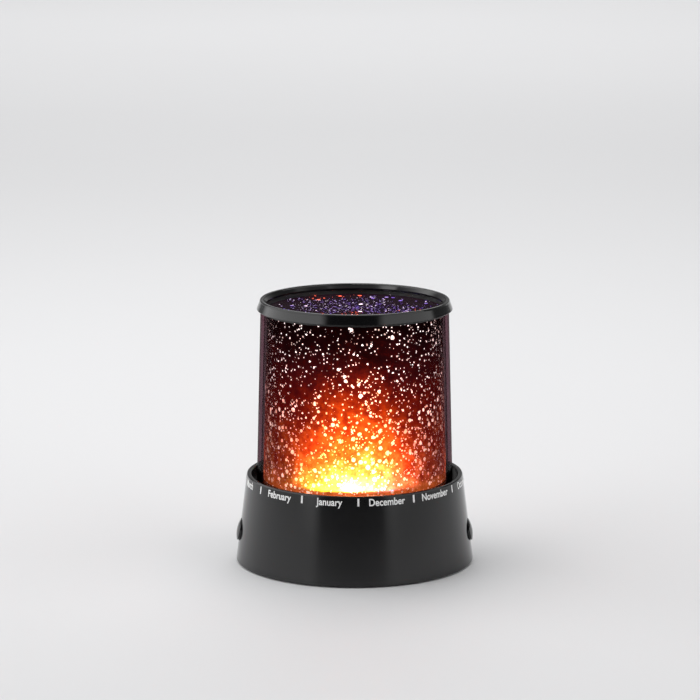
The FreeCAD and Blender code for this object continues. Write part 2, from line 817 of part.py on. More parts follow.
def make_battery_door():
    end = "door_half_length"
    tab_low = "cover_top + door_tab_lift"
    plate = padded_across([
        ("hinge_y", "cover_low"),
        (end, "cover_low"),
        (end, "door_top"),
        ("hinge_y", "door_top", f"hinge_radius * {ARC_MARGIN_SHARE}", 1),
        ("hinge_y - hinge_radius", "hinge_z", f"hinge_radius * {ARC_MARGIN_SHARE}", 1),
    ], "2 * door_half_width")
    solids = [plate]
    for _, span in tab_spans():
        solids.append(block(span, ("hinge_y - hinge_radius", "hinge_y + door_tab_thickness"),
                            ("hinge_z", "cover_top + door_tab_lift + door_tab_thickness")))
        solids.append(block(span, ("-(door_half_length + door_tab_length - door_overlap)", "hinge_y"),
                            (tab_low, f"{tab_low} + door_tab_thickness")))
    solids.append(block(centred("latch_width / 2"), (f"{end} - door_gap - latch_thickness", f"{end} - door_gap"),
                        ("hinge_z", "door_top + latch_height")))
    grooves = []
    for number in range(3):
        middle = f"{end} - {number + 2} * grip_groove_pitch"
        grooves.append(block(centred("latch_width"), (middle, f"{middle} + grip_groove_width"),
                             ("cover_low - overrun", "cover_low + grip_groove_depth")))
    keep("battery_door", cut(joined(*solids), *grooves))
    keep("door_foam_pad", block(centred("bay_half_width - cell_pitch / 2"), centred("bay_half_length / 2"),
                                ("door_top", "door_top + foam_thickness")))


# Buttons, switches and the power inlet

def make_button(side):
    """The cap, plunger and switch body of one side; gives back its switch board."""
    flange_back = "-(button_flange_depth + button_flange_thickness)"
    dome_rise = "(button_dome_proud - button_edge_proud)"
    dome_radius = f"(cap_radius ^ 2 + {dome_rise} ^ 2) / (2 * {dome_rise})"
    cap = turned([
        ("0", "-stem_end"),
        ("stem_radius", "-stem_end"),
        ("stem_radius", flange_back),
        ("button_flange_radius", flange_back),
        ("button_flange_radius", "-button_flange_depth"),
        ("cap_radius", "-button_flange_depth"),
        ("cap_radius", "button_edge_proud", dome_radius, 1),
        ("0", "button_dome_proud"),
    ])
    keep(f"button_cap_{side}", placed(cap, button_frame(side)))
    plunger = cylinder("plunger_radius", "-(stem_end + plunger_length)", "-stem_end")
    keep(f"switch_plunger_{side}", placed(grouped(plunger), button_frame(side)))
    well = "stem_end + plunger_length + button_travel + button_gap"
    body = cut(block(centred("switch_side / 2"), centred("switch_side / 2"), ("-collar_end", "-switch_front")),
               cylinder("plunger_radius + button_gap / 2", f"-({well})", "overrun"))
    keep(f"switch_body_{side}", placed(body, button_frame(side)))
    board = block(centred("collar_outer_radius"), centred("collar_outer_radius"),
                  ("-(collar_end + switch_board_thickness)", "-collar_end"))
    return placed(grouped(board), button_frame(side))


def make_jack():
    where = outward("jack_azimuth", "jack_front_radius", "jack_height")
    body = joined(block(centred("jack_tall / 2"), centred("jack_width / 2"), ("-jack_depth", "0")),
                  cylinder("jack_boss_radius", "-overrun", "jack_boss_length"))
    bore = cylinder("jack_bore_radius", "jack_boss_length - jack_bore_depth", "jack_boss_length + overrun")
    keep("dc_jack", placed(cut(body, bore), where))
    pin = cylinder("jack_pin_radius", "jack_boss_length - jack_bore_depth", "jack_boss_length - jack_pin_radius")
    keep("dc_jack_pin", placed(grouped(pin), where))


# Motor and gears

def make_motor():
    can = turned([
        ("shaft_radius + shaft_gap", "deck_under - motor_shell"),
        ("motor_radius - motor_shell", "deck_under - motor_shell"),
        ("motor_radius - motor_shell", "motor_low + motor_cap_thickness"),
        ("motor_radius", "motor_low + motor_cap_thickness"),
        ("motor_radius", "deck_under"),
        ("motor_boss_radius", "deck_under"),
        ("motor_boss_radius", "deck_under + motor_boss_height"),
        ("shaft_radius + shaft_gap", "deck_under + motor_boss_height"),
    ])
    at_motor = "placement(vector(motor_x; motor_y; 0); rotation(vector(0; 0; 1); 0))"
    holes = [cylinder("small_screw_radius", "deck_under - motor_shell - overrun", "deck_under + overrun", x, y)
             for x, y in motor_screw_places()]
    keep("motor_can", cut(placed(can, at_motor), *holes))
    keep("motor_end_cap", cylinder("motor_radius", "motor_low", "motor_low + motor_cap_thickness",
                                   "motor_x", "motor_y"))
    low = "motor_low + motor_cap_thickness + shaft_gap"
    keep("motor_shaft", cylinder("shaft_radius", low, "gear_low + gear_width + end_play", "motor_x", "motor_y"))
    armature_top = "deck_under - motor_shell - armature_gap - small_screw_length + deck_thickness"
    body = cylinder("armature_radius", f"{low} + armature_gap", armature_top, "motor_x", "motor_y")
    keep("motor_armature", cut(body, cylinder("shaft_radius", low, "deck_under", "motor_x", "motor_y")))


def make_motor_pinion():
    tip = "motor_pinion_pitch_radius + 0.8 * motor_module"
    root = "motor_pinion_pitch_radius - 1.15 * motor_module"
    space = 180 + size("motor_direction") + 180 / MOTOR_PINION_TEETH
    teeth = toothed_wheel(MOTOR_PINION_TEETH, "motor_module", root, tip, "-backlash", space,
                          "gear_low", "gear_low + gear_width")
    bored = cut(teeth, cylinder("shaft_radius", "gear_low - overrun", "pinion_top"))
    placed(bored, "placement(vector(motor_x; motor_y; 0); rotation(vector(0; 0; 1); 0))")
    keep("motor_pinion", bored)


def make_reduction_gear():
    large = toothed_wheel(LARGE_GEAR_TEETH, "motor_module",
                          "large_gear_pitch_radius - 1.15 * motor_module",
                          "large_gear_pitch_radius + 0.8 * motor_module",
                          "-backlash", size("motor_direction"), "gear_low", "pinion_low")
    small = toothed_wheel(SMALL_PINION_TEETH, "ring_module",
                          "small_pinion_pitch_radius - 1.15 * ring_module",
                          "small_pinion_pitch_radius + 0.8 * ring_module",
                          "-backlash", size("gear_azimuth"), "pinion_low", "pinion_top")
    bore = cylinder("gear_pin_radius + shaft_gap", "gear_low - overrun", "pinion_top + overrun")
    wheel = cut(joined(large, small), bore)
    placed(wheel, "placement(vector(gear_x; gear_y; 0); rotation(vector(0; 0; 1); 0))")
    keep("reduction_gear", wheel)
    keep("gear_pin", cylinder("gear_pin_radius", "deck_under", "pinion_top + end_play + pin_clip_thickness",
                              "gear_x", "gear_y"))
    clip_low = "pinion_top + end_play"
    clip = cylinder("pin_clip_radius", clip_low, f"{clip_low} + pin_clip_thickness", "gear_x", "gear_y")
    keep("gear_pin_clip", cut(clip, cylinder("gear_pin_radius", "pinion_low", "pinion_top + overrun",
                                             "gear_x", "gear_y")))


# Drum

def make_drum_gear():
    blank = turned([
        ("seat_ledge_radius / 2", "drum_gear_low"),
        ("flange_outer_radius", "drum_gear_low"),
        ("flange_outer_radius", "drum_gear_low + flange_thickness"),
        ("drum_gear_radius", "drum_gear_low + flange_thickness"),
        ("drum_gear_radius", "drum_gear_top"),
        ("seat_ledge_radius / 2", "drum_gear_top"),
    ])
    spaces = toothed_wheel(RING_TEETH, "ring_module",
                           "ring_pitch_radius - 0.6 * ring_module",
                           "ring_pitch_radius + 1.2 * ring_module",
                           "backlash", size("gear_azimuth"),
                           "drum_gear_low - overrun", "drum_gear_top + overrun")
    keep("drum_gear", cut(blank, spaces))


def make_drum():
    """A clear tapered cup, closed at the top, with a web near its foot that stands on the gear."""
    ceiling = "drum_top - drum_top_thickness"
    web_top = "drum_gear_top + drum_wall"
    web_bore = "ring_pitch_radius + 1.2 * ring_module"
    shell = turned([
        (drum_radius("drum_low") + " - drum_wall", "drum_low"),
        (drum_radius("drum_low"), "drum_low"),
        (drum_radius("drum_top"), "drum_top"),
        ("0", "drum_top"),
        ("0", ceiling),
        (drum_radius(ceiling) + " - drum_wall", ceiling),
        (drum_radius(web_top) + " - drum_wall", web_top),
        (web_bore, web_top),
        (web_bore, "drum_gear_top"),
        (drum_radius("drum_gear_top") + " - drum_wall", "drum_gear_top"),
    ])
    keep("star_drum", shell)
    wrap = turned([
        (drum_radius("film_low"), "film_low"),
        (film_radius("film_low"), "film_low"),
        (film_radius("film_high"), "film_high"),
        (drum_radius("film_high"), "film_high"),
    ])
    keep("star_film_wrap", wrap)
    keep("star_film_disc", cylinder(film_radius("drum_top"), "drum_top", "drum_top + film_thickness"))
    retainer = turned([
        ("retainer_bore_radius", "seat_top"),
        ("retainer_bore_radius", "retainer_top"),
        ("retainer_outer_radius", "retainer_top"),
        ("retainer_outer_radius", "seat_top - retainer_grip"),
        ("seat_outer_radius + retainer_fit", "seat_top - retainer_grip"),
        ("seat_outer_radius + retainer_fit", "seat_top"),
    ])
    keep("drum_retainer", retainer)


# Lights

def make_turret():
    turret = turned([
        ("wire_hole_radius", "deck_top"),
        ("turret_flange_radius", "deck_top"),
        ("turret_flange_radius", "deck_top + turret_flange_thickness"),
        ("turret_radius", "deck_top + turret_flange_thickness"),
        ("turret_radius", "turret_top"),
        ("turret_plate_radius", "turret_top"),
        ("turret_plate_radius", "led_board_low"),
        ("wire_hole_radius", "led_board_low"),
    ])
    holes = [cylinder("small_screw_radius", "deck_top - overrun", "deck_top + turret_flange_thickness", x, y)
             for x, y in turret_screw_places()]
    slots = [cylinder("led_flange_radius", "turret_top - overrun", "led_board_low + overrun", x, y)
             for x, y in led_places()[1:]]
    keep("led_turret", cut(turret, *holes, *slots))
    keep("led_board", cut(cylinder("led_board_radius", "led_board_low", "led_board_top"),
                          *[cylinder("lead_radius", "led_board_low - overrun", "led_board_top + overrun", x, y)
                            for x, y in lead_places()]))


def led_places():
    """The white light in the middle, then the three colours round it."""
    places = [("0", "0")]
    for number in range(3):
        azimuth = f"{120 * number} + 90"
        places.append((f"led_circle_radius * cos({azimuth})", f"led_circle_radius * sin({azimuth})"))
    return places


def lead_places():
    for x, y in led_places():
        for sign in ("+", "-"):
            yield f"({x}) {sign} lead_spacing", y


def make_leds():
    """Four round lamps of 5 mm, each with a flange and a domed tip."""
    for name, (x, y) in zip(("white", "red", "green", "blue"), led_places()):
        tip = DOC.addObject("Part::Sphere", "Tip")
        tie(tip, "Radius", "led_radius")
        placed(tip, f"placement(vector({x}; {y}; led_board_top + led_height - led_radius); "
                    "rotation(vector(0; 0; 1); 0))")
        flange = cylinder("led_flange_radius", "led_board_top", "led_board_top + led_flange_thickness", x, y)
        body = cylinder("led_radius", "led_board_top", "led_board_top + led_height - led_radius", x, y)
        keep(f"led_{name}", joined(flange, body, tip))
    leads = [cylinder("lead_radius", "led_board_top - lead_length", "led_board_top", x, y)
             for x, y in lead_places()]
    keep("led_leads", grouped(*leads))


# Control board

def make_control_board():
    board = block(("board_centre_x - board_width / 2", "board_centre_x + board_width / 2"),
                  ("board_centre_y - board_length / 2", "board_centre_y + board_length / 2"),
                  ("board_low", "board_top"))
    holes = [cylinder("small_screw_radius", "board_low - overrun", "board_top + overrun", x, y)
             for x, y in board_posts()]
    keep("control_board", cut(board, *holes))
    keep("control_chip", block(("board_centre_x - chip_width / 2", "board_centre_x + chip_width / 2"),
                               ("board_centre_y - chip_length / 2", "board_centre_y + chip_length / 2"),
                               ("board_top", "board_top + chip_height")))
    keep("board_capacitor", cylinder("capacitor_radius", "board_top", "board_top + capacitor_height",
                                     "board_centre_x + board_width / 4", "board_centre_y + board_length / 3"))


# Screws

def screw(x, y, seat, kind, length, upward):
    """A pan-head screw with its head's underside at the seat; upward ones enter from below."""
    head, stem, rise = f"{kind}_head_radius", f"{kind}_screw_radius", f"{kind}_head_height"
    piece = turned([
        ("0", f"-({length})"),
        (stem, f"-({length})"),
        (stem, "0"),
        (head, "0"),
        (head, f"{rise} / 2"),
        (f"{head} - {rise} / 2", rise),
        ("0", rise),
    ])
    flip = 180 if upward else 0
    return placed(piece, f"placement(vector({x}; {y}; {seat}); rotation(vector(1; 0; 0); {flip}))")


def make_screws():
    keep("cover_screws", grouped(*[screw(x, y, "cover_low + counterbore_depth", "cover", "cover_screw_length", True)
                                   for x, y in boss_places()]))
    keep("board_screws", grouped(*[screw(x, y, "board_low", "small", "small_screw_length", True)
                                   for x, y in board_posts()]))
    motor = [screw(x, y, "deck_top", "small", "deck_thickness + motor_shell", False)
             for x, y in motor_screw_places()]
    turret = [screw(x, y, "deck_top + turret_flange_thickness", "small", "small_screw_length", False)
              for x, y in turret_screw_places()]
    keep("deck_screws", grouped(*motor, *turret))


# Shade

def make_shade():
    sleeve = turned([
        ("sleeve_bottom_radius - sleeve_wall", "deck_top"),
        ("sleeve_bottom_radius", "deck_top"),
        ("sleeve_top_radius", "sleeve_top"),
        ("sleeve_top_radius - sleeve_wall", "sleeve_top"),
    ])
    keep("shade_sleeve", sleeve)
    skirt_bore = "sleeve_top_radius + cap_fit_gap"
    skirt_low = "sleeve_top - cap_skirt"
    cap = turned([
        (skirt_bore, skirt_low),
        ("cap_widest_radius - cap_edge_round", skirt_low, "cap_edge_round", 1),
        ("cap_widest_radius", f"{skirt_low} + cap_edge_round"),
        ("cap_shoulder_radius", "overall_height - cap_round", "cap_round", 1),
        ("cap_shoulder_radius - cap_round", "overall_height"),
        ("cap_mouth_radius + cap_mouth_round", "overall_height", "cap_mouth_round", 1),
        ("cap_mouth_radius", "overall_height - cap_mouth_round"),
        ("cap_lip_radius", "overall_height - cap_lip_drop"),
        ("cap_lip_radius", "sleeve_top"),
        (skirt_bore, "sleeve_top"),
    ])
    keep("cap_ring", cap)
    window_radius = "sleeve_top_radius - sleeve_wall - window_gap"
    keep("top_window", cylinder(window_radius, "window_low", "sleeve_top"))


# Wiring

def wire(*points):
    """A round wire through points. Each corner is an arc that takes up to 45 % of its shorter run."""
    path, last = [], points[0]
    for index in range(1, len(points) - 1):
        before, here, after = points[index - 1:index + 2]
        way_in = (before - here).normalize()
        way_out = (after - here).normalize()
        reach = min(0.45 * min((before - here).Length, (after - here).Length), size("wire_bend"))
        start, end = here + way_in * reach, here + way_out * reach
        half_open = way_in.getAngle(way_out) / 2
        radius = reach * math.tan(half_open)
        middle = here + (way_in + way_out).normalize() * (radius / math.sin(half_open) - radius)
        path.append(Part.LineSegment(last, start).toShape())
        path.append(Part.Arc(start, middle, end).toShape())
        last = end
    path.append(Part.LineSegment(last, points[-1]).toShape())
    radius = size("wire_radius")
    ring = Part.Wire(Part.makeCircle(radius, points[0], points[1] - points[0]))
    solid = Part.Wire(path).makePipeShell([ring], True, False)
    length = sum(edge.Length for edge in path)
    WIRE_SHARES.append(solid.Volume / (math.pi * radius**2 * length))
    return shape_feature(solid)


def at(x, y, z):
    """A point from three expressions."""
    return FreeCAD.Vector(size(x), size(y), size(z))


def around(azimuth, radius, aside, z):
    """A point at a radius along an azimuth, moved aside to the left of it."""
    return at(f"({radius}) * cos({azimuth}) - ({aside}) * sin({azimuth})",
              f"({radius}) * sin({azimuth}) + ({aside}) * cos({azimuth})", z)


def battery_wire(number, side, z, end_x, end_y):
    """From the solder tab up the bay's end wall, then across to the control board."""
    out = f"{side} * (opening_half_length + bay_wall + contact_tab_reach - wire_radius)"
    start_z = "cell_axis_height + contact_thickness / 2"
    tab_x = f"{number} * cell_pitch"
    return wire(at(tab_x, out, start_z), at(tab_x, out, z), at(end_x, end_y, z), at(end_x, end_y, "board_low"))


def make_wires():
    left = "board_centre_x - board_width / 2"
    right = "board_centre_x + board_width / 2"
    front = "board_centre_y - board_length / 2"
    back = "board_centre_y + board_length / 2"
    under = "board_low - 2 * wire_radius"
    lower = "board_low - 4.5 * wire_radius"
    inset = "2 * wire_radius"
    keep("battery_wire_red", battery_wire(-1, 1, under, f"{right} - 4 * {inset}", f"{back} - {inset}"))
    keep("battery_wire_black", battery_wire(1, -1, under, f"{right} - 2 * {inset}", f"{front} + {inset}"))
    for colour, aside in (("red", "2 * wire_radius"), ("black", "-2 * wire_radius")):
        y = f"motor_y - 5 * wire_radius + {aside}"
        edge = f"motor_x - sqrt(motor_radius ^ 2 - (motor_y - ({y})) ^ 2) - wire_radius / 2"
        z = "motor_low + motor_cap_thickness / 2"
        keep(f"motor_wire_{colour}", wire(
            at(edge, y, z),
            at(f"{edge} - 2 * {inset}", y, z),
            at(f"{edge} - 2 * {inset}", y, f"board_top + 2 * {inset}"),
            at(f"{right} - 2 * {inset}", y, f"board_top + 2 * {inset}"),
            at(f"{right} - 2 * {inset}", y, "board_top")))
        behind = "jack_front_radius - jack_depth"
        run_y = f"opening_half_length + bay_wall + 4 * wire_radius + {aside} * 0.7"
        end_x = f"{right} - {inset} + {aside} * 0.7"
        level = lower if colour == "red" else f"{lower} - 2.4 * wire_radius"
        step = f"{behind} - ({inset} - ({aside} - {inset}) / 2)"
        keep(f"jack_wire_{colour}", wire(
            around("jack_azimuth", behind, aside, "jack_height"),
            around("jack_azimuth", step, aside, "jack_height"),
            around("jack_azimuth", step, aside, level),
            at(end_x, run_y, level),
            at(end_x, f"{back} - {inset}", level),
            at(end_x, f"{back} - {inset}", "board_low")))
    make_led_wires(right)
    make_switch_wires(left, right, front, lower)
    print(f"wires: volume {min(WIRE_SHARES):.4f} to {max(WIRE_SHARES):.4f} of section times length")


def make_led_wires(right):
    """Four wires from the light board down the turret and over to the control board."""
    wires = []
    for number in range(4):
        y = f"({number} - 1.5) * 2.4 * wire_radius"
        z = "board_top + 6 * wire_radius"
        end_x = f"{right} - 8 * wire_radius"
        wires.append(wire(at("0", y, "led_board_low"), at("0", y, z), at(end_x, y, z), at(end_x, y, "board_top")))
    keep("led_wires", grouped(*wires))


def make_switch_wires(left, right, front, lower):
    """A pair from the back of each switch board to the control board."""
    depth = "collar_end + switch_board_thickness + wire_radius * sin(button_tilt)"
    start = cone_radius("button_height") + f" - ({depth}) * cos(button_tilt)"
    start_z = f"button_height - ({depth}) * sin(button_tilt)"
    inner = f"{start} - 5 * wire_radius"
    ends = {
        "left": (f"{left} + 3 * wire_radius", f"{front} + board_length / 2"),
        "right": (f"{right} - 3 * wire_radius", f"{front} + board_length / 4"),
        "back": (f"{right} - 18 * wire_radius", f"{front} + board_length - 3 * wire_radius"),
    }
    wires = []
    for side, (end_x, end_y) in ends.items():
        for aside in ("2 * wire_radius", "-2 * wire_radius"):
            azimuth = f"{side}_azimuth"
            if side == "back":
                run_x, run_y = f"{end_x} - ({aside})", end_y
            else:
                run_x, run_y = end_x, f"{end_y} + ({aside})"
            wires.append(wire(
                around(azimuth, start, aside, start_z),
                around(azimuth, inner, aside, start_z),
                around(azimuth, inner, aside, lower),
                at(run_x, run_y, lower),
                at(run_x, run_y, "board_low")))
    keep("switch_wires", grouped(*wires))


# Build and export

def export():
    """Checks every object and each sub-part's shape, then writes the files."""
    DOC.recompute()
    failed = [f"{o.Label}: {o.State}" for o in DOC.Objects if {"Invalid", "Error"} & set(o.State)]
    for label, thing in NODES.items():
        if thing.Shape.isNull() or not thing.Shape.isValid():
            failed.append(f"{label}: null or not valid")
        elif not thing.Shape.Solids:
            failed.append(f"{label}: holds no solid")
    if failed:
        raise RuntimeError("; ".join(failed))
    os.makedirs("parts", exist_ok=True)
    for label, thing in NODES.items():
        thing.Shape.exportStep(f"parts/{label}.step")
    print(f"{len(NODES)} sub-parts written")


fill_sheet()
make_base_housing()
make_bottom_cover()
make_feet()
make_cells()
make_contacts()
make_battery_door()
keep("switch_boards", grouped(*[make_button(side) for side in ("left", "right", "back")]))
make_jack()
make_motor()
make_motor_pinion()
make_reduction_gear()
make_drum_gear()
make_drum()
make_turret()
make_leds()
make_control_board()
make_screws()
make_shade()
make_wires()
export()
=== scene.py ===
# Star projector lamp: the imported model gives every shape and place. This script adds the finishes,
# the printed month scale, the glowing star film, the rounded clear sleeve, the crosses in the
# cover's screws and the studio.
# The frame: metres, +Z up, the origin on the table under the middle of the base, -Y is the front.

import math

import bmesh
import bpy
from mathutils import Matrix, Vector


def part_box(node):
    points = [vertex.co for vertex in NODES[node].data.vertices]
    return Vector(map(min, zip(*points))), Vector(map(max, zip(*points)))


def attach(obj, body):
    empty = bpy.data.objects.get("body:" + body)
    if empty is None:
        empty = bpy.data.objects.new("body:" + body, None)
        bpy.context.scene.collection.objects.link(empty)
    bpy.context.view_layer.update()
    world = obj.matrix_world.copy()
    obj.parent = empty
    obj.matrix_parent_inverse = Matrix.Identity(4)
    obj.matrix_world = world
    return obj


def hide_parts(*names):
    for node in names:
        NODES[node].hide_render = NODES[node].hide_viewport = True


MM = 0.001

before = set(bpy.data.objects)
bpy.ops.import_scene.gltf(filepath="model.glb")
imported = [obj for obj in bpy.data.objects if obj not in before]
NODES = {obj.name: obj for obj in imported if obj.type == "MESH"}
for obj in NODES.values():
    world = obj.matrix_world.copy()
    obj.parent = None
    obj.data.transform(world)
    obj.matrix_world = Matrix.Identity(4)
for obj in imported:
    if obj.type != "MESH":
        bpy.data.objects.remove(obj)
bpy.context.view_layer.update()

# Driving sizes of the round shapes that pieces here follow or stand for
BASE_FOOT_RADIUS = 55.0 * MM
BASE_RIM_RADIUS = 49.9 * MM
BASE_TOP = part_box("base_housing")[1][2]
BASE_SLOPE = (BASE_FOOT_RADIUS - BASE_RIM_RADIUS) / BASE_TOP
SLEEVE_LOW, SLEEVE_HIGH = (corner[2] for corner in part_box("shade_sleeve"))
SLEEVE_FOOT_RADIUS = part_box("shade_sleeve")[1][0]
SLEEVE_DRAW = 2.15 * MM
SLEEVE_WALL = 1.8 * MM
SLEEVE_EDGE = 0.35 * MM
SLEEVE_EDGE_STEPS = 4
SLEEVE_SLOPE = SLEEVE_DRAW / (SLEEVE_HIGH - SLEEVE_LOW)
FILM_LOW, FILM_HIGH = (corner[2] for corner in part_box("star_film_wrap"))
FILM_FOOT_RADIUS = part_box("star_film_wrap")[1][0]
FILM_THICKNESS = 0.35 * MM
LATHE_SEGMENTS = 256

# The camera stands where the photograph's was, found from the ellipses of the base and the cap
CAMERA_PLACE = (-2.16 * MM, -1342.6 * MM, 353.13 * MM)
CAMERA_PITCH = math.radians(79.25)
CAMERA_LENS = 152.98
CAMERA_SENSOR = 36.0


# Node trees

WHITE = (1.0, 1.0, 1.0)
# A Mix node's colour sockets, by place in its lists
MIX_FIRST = 6
MIX_SECOND = 7
MIX_RESULT = 2
# Soft noise mostly stays between these
NOISE_LOW = 0.3
NOISE_HIGH = 0.7
# How steeply a clear skin's gloss grows towards its edge
SKIN_POWER = 5.0


class Nodes:
    """A node tree, filled and linked in short calls."""

    def __init__(self, tree):
        self.tree = tree
        self.tree.nodes.clear()

    def add(self, kind, inputs=None, **settings):
        """A node of that kind; an input is a plain value, a colour or another node's socket."""
        node = self.tree.nodes.new("ShaderNode" + kind)
        for key, value in settings.items():
            setattr(node, key, value)
        for key, value in (inputs or {}).items():
            socket = node.inputs[key]
            if isinstance(value, bpy.types.NodeSocket):
                self.tree.links.new(value, socket)
            else:
                socket.default_value = (*value, 1.0) if socket.type == "RGBA" else value
        return node

    def calc(self, operation, *values):
        """One step of arithmetic."""
        return self.add("Math", dict(enumerate(values)), operation=operation).outputs[0]

    def calc_vector(self, operation, *values):
        """One step of arithmetic on vectors or colours."""
        return self.add("VectorMath", dict(enumerate(values)), operation=operation).outputs["Vector"]

    def weighted(self, *terms):
        """The sum of values, each times its weight."""
        total, *others = [self.calc("MULTIPLY", value, weight) for value, weight in terms]
        for other in others:
            total = self.calc("ADD", total, other)
        return total

    def spread(self, value, low, high, out_low=0.0, out_high=1.0):
        """Takes low..high to out_low..out_high and holds the ends."""
        inputs = {"Value": value, "From Min": low, "From Max": high,
                  "To Min": out_low, "To Max": out_high}
        return self.add("MapRange", inputs).outputs["Result"]

    def tint(self, share, first, second):
        """first where share is 0 and second where it is 1; each a colour or a socket."""
        inputs = {"Factor": share, MIX_FIRST: first, MIX_SECOND: second}
        return self.add("Mix", inputs, data_type="RGBA").outputs[MIX_RESULT]

    def ramp(self, value, *stops):
        """Colours at set values from 0 to 1, blended between them."""
        node = self.add("ValToRGB", {"Fac": value})
        elements = node.color_ramp.elements
        while len(elements) < len(stops):
            elements.new(0.5)
        for element, (position, colour) in zip(elements, stops):
            element.position = position
            element.color = (*colour, 1.0)
        return node.outputs["Color"]


class Shader(Nodes):
    """One material's nodes."""

    def __init__(self, name):
        self.material = bpy.data.materials.new(name)
        self.material.use_nodes = True
        super().__init__(self.material.node_tree)
        self.place = self.add("TexCoord").outputs["Object"]

    def along(self, axis):
        """How far a point lies along an axis, in metres."""
        return self.add("SeparateXYZ", {"Vector": self.place}).outputs[axis]

    def noise(self, scale, detail=3.0, roughness=0.5, place=None):
        """Soft noise from 0 to 1; scale is in waves per metre."""
        inputs = {"Vector": place or self.place, "Scale": scale,
                  "Detail": detail, "Roughness": roughness}
        return self.add("TexNoise", inputs).outputs["Fac"]

    def uneven(self, scale, least, most, detail=3.0):
        """A value that wanders from least to most; scale is in waves per metre."""
        return self.spread(self.noise(scale, detail), NOISE_LOW, NOISE_HIGH, least, most)

    def aslant(self):
        """0 where a face is seen square on and 1 edge on."""
        return self.add("LayerWeight", {"Blend": 0.5}).outputs["Facing"]

    def skin_share(self, least, most):
        """Share of light that a clear skin throws back: least face on and most edge on."""
        return self.spread(self.calc("POWER", self.aslant(), SKIN_POWER), 0.0, 1.0, least, most)

    def bump(self, height, depth):
        """A normal pushed by a height from 0 to 1 that stands for a depth in metres."""
        return self.add("Bump", {"Height": height, "Distance": depth, "Strength": 1.0}).outputs["Normal"]

    def principled(self, **inputs):
        """The main surface; a keyword's underscores are the socket's spaces."""
        named = {key.replace("_", " "): value for key, value in inputs.items()}
        return self.add("BsdfPrincipled", named).outputs["BSDF"]

    def see_through(self, colour):
        """A surface that light passes straight, tinted."""
        return self.add("BsdfTransparent", {"Color": colour}).outputs[0]

    def gloss(self, scale, least, most):
        """A white mirroring skin, its roughness uneven from least to most."""
        inputs = {"Color": WHITE, "Roughness": self.uneven(scale, least, most)}
        return self.add("BsdfGlossy", inputs).outputs[0]

    def mixed(self, share, first, second):
        """first where share is 0 and second where it is 1, as surfaces."""
        return self.add("MixShader", {0: share, 1: first, 2: second}).outputs[0]

    def finish(self, surface, volume=None):
        """Links the surface, and a volume if there is one, and gives the material."""
        ends = {"Surface": surface}
        if volume is not None:
            ends["Volume"] = volume
        self.add("OutputMaterial", ends)
        return self.material


def scaled(colour, share):
    """A colour times a share."""
    return tuple(part * share for part in colour)


def dress(material, *names):
    """Gives a material to CAD nodes."""
    for name in names:
        slots = NODES[name].data.materials
        slots.clear()
        slots.append(material)


# Finishes

MOTTLE_SHARE = 0.12
FLOW_DEPTH = 0.004 * MM


def moulded(name, colour, roughness, grain=0.0, glow=0.0):
    """Moulded plastic: faint clouding, uneven gloss, and a grain of that depth or flow waves."""
    s = Shader(name)
    cloud = s.noise(scale=70.0, detail=4.0)
    speck = s.noise(scale=1900.0, detail=2.0)
    flow = s.noise(scale=160.0, detail=2.0)
    pattern = s.noise(scale=2600.0, roughness=0.6)
    mottle = s.weighted((cloud, 0.7), (speck, 0.3))
    wear = s.weighted((cloud, 1.0), (speck, 0.4))
    height = s.weighted((flow, 0.35), (pattern, 1.0 if grain else 0.0))
    return s.finish(s.principled(
        Base_Color=s.tint(mottle, scaled(colour, 1 - MOTTLE_SHARE), scaled(colour, 1 + MOTTLE_SHARE)),
        Roughness=s.spread(wear, 0.35, 1.05, roughness * 0.86, roughness * 1.16),
        Subsurface_Weight=glow,
        Normal=s.bump(height, max(grain, FLOW_DEPTH))))


PORE_DEPTH = 0.05 * MM


def rubber(name, colour):
    """Matt rubber with fine pores and dust."""
    s = Shader(name)
    pores = s.add("TexVoronoi", {"Vector": s.place, "Scale": 2400.0}).outputs["Distance"]
    dust = s.noise(scale=350.0, detail=5.0)
    pale = tuple(part * 1.8 + 0.01 for part in colour)
    return s.finish(s.principled(
        Base_Color=s.tint(s.spread(dust, 0.45, 0.75), colour, pale),
        Roughness=s.spread(dust, 0.2, 0.8, 0.72, 0.92),
        Normal=s.bump(pores, PORE_DEPTH)))


# Waves per metre across and along a brushed surface's lines
BRUSH_ACROSS = 2200.0
BRUSH_ALONG = 90.0
BRUSH_DEPTH = 0.006 * MM
STAIN_SHARE = 0.15


def metal(name, colour, roughness, brushed=None):
    """Bare or plated metal, brushed along an axis where one is given."""
    s = Shader(name)
    stretch = [BRUSH_ACROSS] * 3
    if brushed is not None:
        stretch[brushed] = BRUSH_ALONG
    lines = s.noise(1.0, detail=4.0, place=s.calc_vector("MULTIPLY", s.place, tuple(stretch)))
    return s.finish(s.principled(
        Base_Color=s.tint(s.noise(scale=180.0), scaled(colour, 1 - STAIN_SHARE), colour),
        Metallic=1.0,
        Roughness=s.spread(lines, NOISE_LOW, NOISE_HIGH, roughness * 0.75, roughness * 1.3),
        Normal=s.bump(lines, BRUSH_DEPTH)))


TRACK_SWAY_ACROSS = 9 * MM
TRACK_SWAY_ALONG = 7 * MM
TRACK_DEPTH = 0.03 * MM


